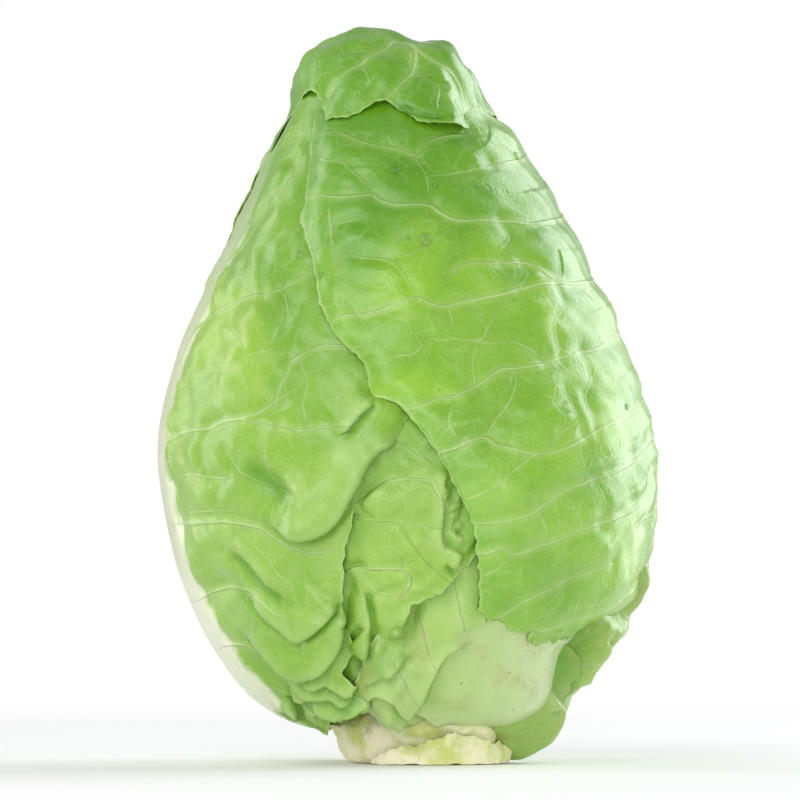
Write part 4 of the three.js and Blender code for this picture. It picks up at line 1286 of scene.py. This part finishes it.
def stacked_piece(name, rings, bottom, top, material):
    """A closed solid through rings that run anticlockwise seen from above, listed from below upwards."""
    levels, sides, _ = rings.shape
    ids = np.arange(levels * sides).reshape(levels, sides)
    right = np.roll(ids, -1, axis=1)
    quads = np.stack([ids[:-1], right[:-1], right[1:], ids[1:]], -1).reshape(-1, 4)
    low, high = levels * sides, levels * sides + 1
    fans = np.vstack([
        np.column_stack([np.full(sides, low), right[0], ids[0]]),
        np.column_stack([np.full(sides, high), ids[-1], right[-1]]),
    ])
    points = np.vstack([rings.reshape(-1, 3), [bottom], [top]])
    return new_piece(name, points, quads, fans, material)


def make_stem(material):
    profile = np.array([
        # radius, height behind, height at the front, depth of the scars
        [CUT_RADIUS - 4, 0, 0, 0], [CUT_RADIUS - 0.8, 1.1, 1.1, 0.6], [CUT_RADIUS + 0.8, 4, 4, 1.2],
        [CUT_RADIUS + 2, 8, 8, 1], [CUT_RADIUS + 3.4, 11.5, 11.5, 0.6], [CUT_RADIUS + 1, 13.4, 16, 0.3],
        [18, 14.8, 18, 0], [CORE_RADIUS, 16, 20, 0], [CORE_RADIUS, 30, 30, 0], [CORE_RADIUS - 2, 52, 52, 0],
        [CORE_RADIUS - 5.5, 70, 70, 0], [2, CORE_TOP - 1, CORE_TOP - 1, 0],
    ])
    face = np.array([[r, 0, 0, 0] for r in (4, 8, 12, 16, 19)])
    rows = np.vstack([face, along(profile, np.linspace(0, len(profile) - 1, 90))])
    turn = np.linspace(0, 2 * math.pi, 144, endpoint=False)
    radius, back, front, scars = (rows[:, k][:, None] for k in range(4))
    height = mix(back, front, smooth(-np.sin(turn), 0.1, 0.7))
    reach = radius + scars * (0.7 * np.sin(5 * turn) + 0.5 * np.sin(8 * turn + 1))
    rings = np.stack([STUMP_CENTRE + reach * np.cos(turn), reach * np.sin(turn), np.maximum(height, 0)], -1)
    rough = 0.35 * ripples(rings, 5, seed=71) + 0.15 * ripples(rings, 1.8, seed=72)
    rough *= smooth(rings[..., 2], 0.1, 2)
    rings[..., :2] += unit(rings[..., :2] - [STUMP_CENTRE, 0]) * rough[..., None]
    bottom, top = [STUMP_CENTRE, 0, 0], [STUMP_CENTRE, 0, CORE_TOP - 0.5]
    return stacked_piece("cut_stem", rings, bottom, top, material)


def make_stub(material):
    """The ragged base of a stalk that was cut away, a lip that curls out from the front of the stump."""
    rows, columns = 48, 300
    v, u = np.meshgrid(np.linspace(0, 1, rows + 1), np.linspace(0, 1, columns + 1), indexing="ij")
    azimuth = mix(-38, 76, u)
    turn = np.radians(azimuth)
    ring = CUT_RADIUS + 3
    on_ring = np.stack([ring * np.sin(turn), -ring * np.cos(turn), 0 * v], -1)
    azimuths, heights = [-38, -30, -14, 4, 16, 30, 46, 62, 76], [1.2, 2.6, 4.8, 7.6, 8.6, 7.6, 6.2, 4.6, 2.2]
    tall = np.interp(azimuth, azimuths, heights)
    tall = tall * (1 + 0.12 * ripples(on_ring, 9, seed=82) + 0.07 * ripples(on_ring, 3, seed=83))
    foot = 0.2 + np.maximum(0.25 * ripples(on_ring, 8, seed=86) + 0.15 * ripples(on_ring, 3, seed=87), 0)
    wave = 1.3 * ripples(on_ring, 11, seed=84) + 0.5 * ripples(on_ring, 4, seed=85)
    tuck = smooth(u, 0, 0.1) * (1 - smooth(u, 0.9, 1))
    curl = 0.8 * np.sin(math.pi * v) + (2.2 + wave) * v**2.2 + 0.6 * (1 - v) ** 3
    radius = CUT_RADIUS + 1.6 + tuck * curl
    height = foot + tall * v
    point = lambda r: np.stack([STUMP_CENTRE + r * np.sin(turn), -r * np.cos(turn), height], -1)
    thick = mix(1.5, 0.5, smooth(v, 0.2, 1)) * mix(0.3, 1, tuck)
    outer, inner = point(radius + thick), point(radius)
    ids = np.arange(outer.shape[0] * outer.shape[1]).reshape(outer.shape[:2])
    under = ids + ids.size
    quads = [grid_faces(ids), grid_faces(under)[:, INWARDS]]
    edge, hem = rim_loop(ids), rim_loop(under)
    quads.append(np.stack([edge, hem, np.roll(hem, -1), np.roll(edge, -1)], -1))
    points = np.vstack([outer.reshape(-1, 3), inner.reshape(-1, 3)])
    return new_piece("curled_stub", points, np.vstack(quads), np.zeros((0, 3), int), material)


def make_heart(material):
    """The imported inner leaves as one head, each margin a step that winds up to the tip."""
    sides, levels, wraps = 200, 130, 5
    turn = np.linspace(0, 360, sides, endpoint=False)
    climb = np.linspace(0.1, 0.985, levels)
    azimuth, climbs = np.meshgrid(turn, climb)
    shell = on_head(azimuth, climbs)
    across = on_head(azimuth + 1, climbs) - on_head(azimuth - 1, climbs)
    up = on_head(azimuth, climbs + 0.005) - on_head(azimuth, climbs - 0.005)
    out = unit(np.cross(across, up))
    share = (wraps * azimuth / 360 + 1.2 * climbs) % 1
    step = share * smooth(1 - share, 0, 0.06)
    vein = np.abs(np.sin(math.pi * (9 * climbs + 0.8 * share)))
    rise = settled(-HEART_DEPTH, shell[..., 2]) - 1.1 * step + 0.5 * vein**0.5
    rise += 0.4 * ripples(shell, 14, seed=91) - 0.6
    shell = shell + out * rise[..., None]
    socket = [(0.6, CORE_TOP + 2.2), (CORE_RADIUS - 3, 73), (CORE_RADIUS + 1, 50), (CORE_RADIUS + 1, 20)]
    angle = np.radians(turn - 90)
    inside = [
        np.column_stack([STUMP_CENTRE + r * np.cos(angle), r * np.sin(angle), np.full(sides, h)])
        for r, h in socket
    ]
    rings = np.concatenate([inside, shell])
    tip = on_head(np.array(0.0), np.array(1.0)) + [0, 0, -HEART_DEPTH]
    return stacked_piece("packed_heart", rings, [STUMP_CENTRE, 0, CORE_TOP + 3], tip, material)


# Where the photo shows drops of water: x, height, and size as a share of the largest.
DROPS = [
    (5.1, 156.3, 1.0), (-3.9, 177.3, 0.75), (23.7, 171.9, 0.75), (20.1, 172.5, 0.45), (11.7, 202.5, 0.85),
    (32.4, 181.8, 0.75), (47.1, 106.8, 1.0), (-32.4, 152.1, 0.75), (-15.3, 74.7, 0.45), (-25.8, 146.1, 0.45),
    (65.1, 106.8, 0.5), (0, 156.9, 0.35), (8, 172.5, 0.5),
]
DROP_GAP = 0.05  # how far a drop's middle stands off the leaf
DROP_FLATNESS = 0.5
DROP_RINGS = 16
DROP_CLEARNESS = 0.55  # share of the light that reaches the leaf as if the drop weren't there


def drop_tree():
    """Geometry nodes that set a flattened drop, standing on the leaf, on each of some points."""
    tree = bpy.data.node_groups.new("Water drops", "GeometryNodeTree")
    tree.interface.new_socket("Geometry", in_out="INPUT", socket_type="NodeSocketGeometry")
    kinds = {"Largest": "Float", "Flatness": "Float", "Rings": "Int", "Material": "Material"}
    for label, kind in kinds.items():
        tree.interface.new_socket(label, in_out="INPUT", socket_type="NodeSocket" + kind)
    tree.interface.new_socket("Geometry", in_out="OUTPUT", socket_type="NodeSocketGeometry")
    given = tree.nodes.new("NodeGroupInput").outputs
    rounds = {"Segments": 32, "Rings": given["Rings"], "Radius": 1.0}
    ball = add_node(tree, "GeometryNodeMeshUVSphere", rounds)
    smooth_ball = add_node(tree, "GeometryNodeSetShadeSmooth", {"Geometry": ball.outputs["Mesh"]})
    flat = add_node(tree, "ShaderNodeCombineXYZ", {"X": 1.0, "Y": 1.0, "Z": given["Flatness"]})
    flattened = {"Geometry": smooth_ball.outputs[0], "Scale": flat.outputs[0]}
    drop = add_node(tree, "GeometryNodeTransform", flattened)
    way = add_node(tree, "GeometryNodeInputNamedAttribute", {"Name": "way"}, data_type="FLOAT_VECTOR")
    share = add_node(tree, "GeometryNodeInputNamedAttribute", {"Name": "share"}, data_type="FLOAT")
    size = add_node(tree, "ShaderNodeMath", {0: share.outputs[0], 1: given["Largest"]}, operation="MULTIPLY")
    turn = add_node(tree, "FunctionNodeAlignRotationToVector", {"Vector": way.outputs[0]}, axis="Z")
    set_out = add_node(tree, "GeometryNodeInstanceOnPoints", {
        "Points": given["Geometry"], "Instance": drop.outputs[0],
        "Rotation": turn.outputs[0], "Scale": size.outputs[0],
    })
    real = add_node(tree, "GeometryNodeRealizeInstances", {"Geometry": set_out.outputs[0]})
    wet = {"Geometry": real.outputs[0], "Material": given["Material"]}
    made = add_node(tree, "GeometryNodeSetMaterial", wet)
    tree.links.new(made.outputs[0], tree.nodes.new("NodeGroupOutput").inputs["Geometry"])
    return tree


EYE_Y = -0.3  # metres, well in front of the head


def on_leaves(x, height, leaves):
    """Where someone in front sees a leaf at (x, height), and which way the leaf faces there."""
    start, ahead = Vector((x * MM, EYE_Y, height * MM)), Vector((0, 1, 0))
    hits = [leaf.ray_cast(start, ahead) for leaf in leaves]
    return min((hit for hit in hits if hit[0]), key=lambda hit: hit[3])[:2]


def make_drops(context, material):
    graph = context.evaluated_depsgraph_get()
    leaves = [bvhtree.BVHTree.FromObject(bpy.data.objects[name], graph)
              for name in ("right_leaf", "left_leaf", "back_leaf", "middle_leaf")]
    found = [on_leaves(x, height, leaves) for x, height, _ in DROPS]
    points = bpy.data.meshes.new("drop places")
    points.from_pydata([spot + way * DROP_GAP * MM for spot, way in found], [], [])
    ways = np.array([way for _, way in found], np.float32)
    points.attributes.new("way", "FLOAT_VECTOR", "POINT").data.foreach_set("vector", ways.ravel())
    shares = np.array([share for _, _, share in DROPS], np.float32)
    points.attributes.new("share", "FLOAT", "POINT").data.foreach_set("value", shares)
    source = bpy.data.objects.new("drop places", points)
    context.scene.collection.objects.link(source)
    modifier = source.modifiers.new("Water drops", "NODES")
    modifier.node_group = tree = drop_tree()
    sockets = {each.name: each.identifier for each in tree.interface.items_tree if each.in_out == "INPUT"}
    inputs = {
        "Largest": context.scene.cabbage_sizes.drop, "Flatness": DROP_FLATNESS, "Rings": DROP_RINGS,
        "Material": material,
    }
    for label, value in inputs.items():
        modifier[sockets[label]] = value
    source.update_tag()
    graph = context.evaluated_depsgraph_get()
    mesh = bpy.data.meshes.new_from_object(source.evaluated_get(graph))
    source.modifiers.remove(modifier)
    bpy.data.objects.remove(source)
    mesh.name = "water_drops"
    piece = bpy.data.objects.new("water_drops", mesh)
    context.scene.collection.objects.link(piece)
    return piece


def water_material():
    material, tree, shader = new_material("Water")
    shader.inputs["Transmission Weight"].default_value = 1.0
    shader.inputs["Roughness"].default_value = 0.02
    shader.inputs["IOR"].default_value = 1.33
    clear = add_node(tree, "ShaderNodeBsdfTransparent")
    shadow = tree.nodes.new("ShaderNodeLightPath").outputs["Is Shadow Ray"]
    share = Mixer(tree).times(shadow, DROP_CLEARNESS)
    both = add_node(tree, "ShaderNodeMixShader", {0: share, 1: shader.outputs[0], 2: clear.outputs[0]})
    out = next(node for node in tree.nodes if node.type == "OUTPUT_MATERIAL")
    tree.links.new(both.outputs[0], out.inputs["Surface"])
    return material


# Operators, panel and registration.


def chosen_colours(context):
    """The colours of the panel by name, as plain tuples."""
    group = context.scene.cabbage_colours
    return {key: tuple(getattr(group, key)) for key in CabbageColours.__annotations__}


class CABBAGE_OT_stem(bpy.types.Operator):
    """Make the cut stump with its core, and the curled stub at its front"""

    bl_idname = "cabbage.stem"
    bl_label = "Stem and Stub"

    def execute(self, context):
        cream = chosen_colours(context)["stump"]
        green, brown = from_srgb(204, 212, 118), from_srgb(182, 164, 104)
        material = stalk_material("Stump flesh", cream, green, brown, roughness=0.5)
        stand_for(make_stem(material), "stem")
        stand_for(make_stub(material), "stalk_stub")
        return {"FINISHED"}


class CABBAGE_OT_heart(bpy.types.Operator):
    """Make the heart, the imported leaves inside"""

    bl_idname = "cabbage.heart"
    bl_label = "Heart"

    def execute(self, context):
        pale = chosen_colours(context)["heart"]
        green, cream = from_srgb(198, 214, 122), from_srgb(222, 226, 176)
        material = stalk_material("Heart leaf", pale, green, cream, roughness=0.4)
        stand_for(make_heart(material), "heart")
        return {"FINISHED"}


class CABBAGE_OT_inner_leaves(bpy.types.Operator):
    """Make the two leaves that show in the window between the outer ones, and the left outer leaf"""

    bl_idname = "cabbage.inner_leaves"
    bl_label = "Inner and Left Leaves"

    def execute(self, context):
        colours = chosen_colours(context)
        inner, inner_deep, vein, stalk = (colours[key] for key in ("inner", "inner_deep", "vein", "stalk"))
        pale = leaf_material("Pale leaf", mixed(inner, stalk, 0.2), inner, mixed(stalk, inner, 0.42), vein,
                             rib_width=0.35, coat=0.35, worn=0.36)
        stand_for(make_front_leaf(context, pale), "leaf_front")
        # The middle leaf's own paler green, lifted further as painted light against the shade of the window
        # it lies in.
        painted_lit_inner = leaf_material("Inner leaf", inner, mixed(inner, inner_deep, 0.3), stalk, vein,
                               rib_width=0.4, coat=0.2)
        stand_for(make_middle_leaf(context, painted_lit_inner), "leaf_middle")
        green = leaf_material("Left leaf", inner, inner_deep, stalk, vein,
                              rib_width=0.5, coat=0.42, top_tint=0.7)
        stand_for(make_left_leaf(context, green), "leaf_left")
        return {"FINISHED"}


class CABBAGE_OT_outer_leaves(bpy.types.Operator):
    """Make the right outer leaf, the back leaf with its hood, and the torn leaf"""

    bl_idname = "cabbage.outer_leaves"
    bl_label = "Outer Leaves"

    def execute(self, context):
        colours = chosen_colours(context)
        outer, outer_deep, vein, stalk = (colours[key] for key in ("outer", "outer_deep", "vein", "stalk"))
        green = leaf_material("Outer leaf", outer, outer_deep, stalk, vein,
                              rib_width=0.5, coat=0.42, top_tint=0.9)
        stand_for(make_right_leaf(context, green), "leaf_right")
        stand_for(make_back_leaf(context, green), "leaf_back")
        torn = leaf_material("Torn leaf", from_srgb(150, 182, 84), from_srgb(110, 162, 10), stalk, vein,
                             rib_width=0.5, coat=0.1, worn=0.35)
        stand_for(make_torn_leaf(context, torn), "leaf_torn")
        return {"FINISHED"}


class CABBAGE_OT_drops(bpy.types.Operator):
    """Set drops of water on the leaves, where the photo shows them"""

    bl_idname = "cabbage.drops"
    bl_label = "Water Drops"

    def execute(self, context):
        stand_for(make_drops(context, water_material()), None)
        return {"FINISHED"}


ROOM_LIGHT = 0.5
FLOOR_REACH = 1500  # millimetres from its middle to a side
FLOOR_FADE = (0.12, 0.8)  # metres from the middle where it starts to fade, and where it has gone
HEAD_MIDDLE = (0, 0, 0.11)
SOFTBOXES = (
    # name, place, aim, width, height, watts and colour
    ("left softbox", (-0.75, 0.2, 0.35), HEAD_MIDDLE, 0.4, 0.8, 2.4, (1, 1, 1)),
    ("right softbox", (0.68, 0.42, 0.32), HEAD_MIDDLE, 0.7, 0.9, 7, (0.93, 0.97, 1)),
    ("front softbox", (-0.5, -1.05, 0.7), HEAD_MIDDLE, 0.95, 0.95, 7.6, (1, 1, 1)),
    ("low softbox", (0.15, -0.9, 0.06), (0, 0, 0.02), 0.9, 0.12, 1.9, (1, 1, 1)),
)
LENS, SENSOR = 600, 36  # millimetres; the long lens shows the head almost without perspective
PIXEL = 0.3  # millimetres that a pixel of the photo shows
PHOTO_SIDE = 800
PHOTO_CENTRE = (-2.4, 108.9)  # what the middle of the photo shows, in x and height


def softbox(name, place_at, aim, width, height, watts, colour):
    lamp = bpy.data.lights.new(name, "AREA")
    lamp.shape, lamp.size, lamp.size_y, lamp.energy, lamp.color = "RECTANGLE", width, height, watts, colour
    light = bpy.data.objects.new(name, lamp)
    light.location = place_at
    light.rotation_euler = (Vector(aim) - Vector(place_at)).to_track_quat("-Z", "Y").to_euler()
    bpy.context.scene.collection.objects.link(light)


class CABBAGE_OT_stage(bpy.types.Operator):
    """Set up the pale floor, the soft lights and the camera"""

    bl_idname = "cabbage.stage"
    bl_label = "Stage"

    def execute(self, context):
        scene = context.scene
        material, tree, shader = new_material("Pale floor")
        shader.inputs["Base Color"].default_value = (0.96, 0.96, 0.96, 1)
        shader.inputs["Roughness"].default_value = 0.7
        m = Mixer(tree)
        far = m.vector_math("LENGTH", {0: m.where()})["Value"]
        tree.links.new(m.band(far, *FLOOR_FADE, 1, 0), shader.inputs["Alpha"])
        corners = [(x * FLOOR_REACH, y * FLOOR_REACH, 0) for x, y in ((-1, -1), (1, -1), (1, 1), (-1, 1))]
        floor = new_piece("floor", corners, [[0, 1, 2, 3]], np.zeros((0, 3), int), material)
        world = bpy.data.worlds.new("Bright room")
        world.use_nodes = True
        # The room lights the cabbage softly, while the backdrop behind it stays white.
        room = world.node_tree
        background = room.nodes["Background"]
        background.inputs["Color"].default_value = (1, 1, 1, 1)
        background.inputs["Strength"].default_value = ROOM_LIGHT
        white = add_node(room, "ShaderNodeBackground", {"Color": (1, 1, 1, 1), "Strength": 1.0})
        straight = room.nodes.new("ShaderNodeLightPath").outputs["Is Camera Ray"]
        both = {0: straight, 1: background.outputs[0], 2: white.outputs[0]}
        backdrop = add_node(room, "ShaderNodeMixShader", both)
        room.links.new(backdrop.outputs[0], room.nodes["World Output"].inputs["Surface"])
        scene.world = world
        for each in SOFTBOXES:
            softbox(*each)
        camera = bpy.data.cameras.new("camera")
        camera.lens, camera.sensor_width, camera.clip_end = LENS, SENSOR, 100
        viewer = bpy.data.objects.new("camera", camera)
        distance = PHOTO_SIDE * PIXEL * MM * camera.lens / camera.sensor_width
        viewer.location = (PHOTO_CENTRE[0] * MM, -distance, PHOTO_CENTRE[1] * MM)
        viewer.rotation_euler = (math.pi / 2, 0, 0)
        scene.collection.objects.link(viewer)
        scene.camera = viewer
        scene.view_settings.view_transform = "Standard"
        return {"FINISHED"}


class CABBAGE_PT_build(bpy.types.Panel):
    bl_label = "Pointed Cabbage"
    bl_space_type = "VIEW_3D"
    bl_region_type = "UI"
    bl_category = "Cabbage"

    def draw(self, context):
        for group in (context.scene.cabbage_sizes, context.scene.cabbage_colours):
            for key in group.__annotations__:
                self.layout.prop(group, key)
        for operator in OPERATORS:
            self.layout.operator(operator.bl_idname)


OPERATORS = (
    CABBAGE_OT_stem, CABBAGE_OT_heart, CABBAGE_OT_inner_leaves, CABBAGE_OT_outer_leaves, CABBAGE_OT_drops,
    CABBAGE_OT_stage,
)
CLASSES = (CabbageSizes, CabbageColours, *OPERATORS, CABBAGE_PT_build)


def register():
    for each in CLASSES:
        bpy.utils.register_class(each)
    bpy.types.Scene.cabbage_sizes = bpy.props.PointerProperty(type=CabbageSizes)
    bpy.types.Scene.cabbage_colours = bpy.props.PointerProperty(type=CabbageColours)


def unregister():
    del bpy.types.Scene.cabbage_colours
    del bpy.types.Scene.cabbage_sizes
    for each in reversed(CLASSES):
        bpy.utils.unregister_class(each)


def main():
    register()
    bpy.ops.cabbage.stem()
    bpy.ops.cabbage.heart()
    bpy.ops.cabbage.inner_leaves()
    bpy.ops.cabbage.outer_leaves()
    bpy.ops.cabbage.drops()
    bpy.ops.cabbage.stage()


if __name__ == "__main__":
    main()
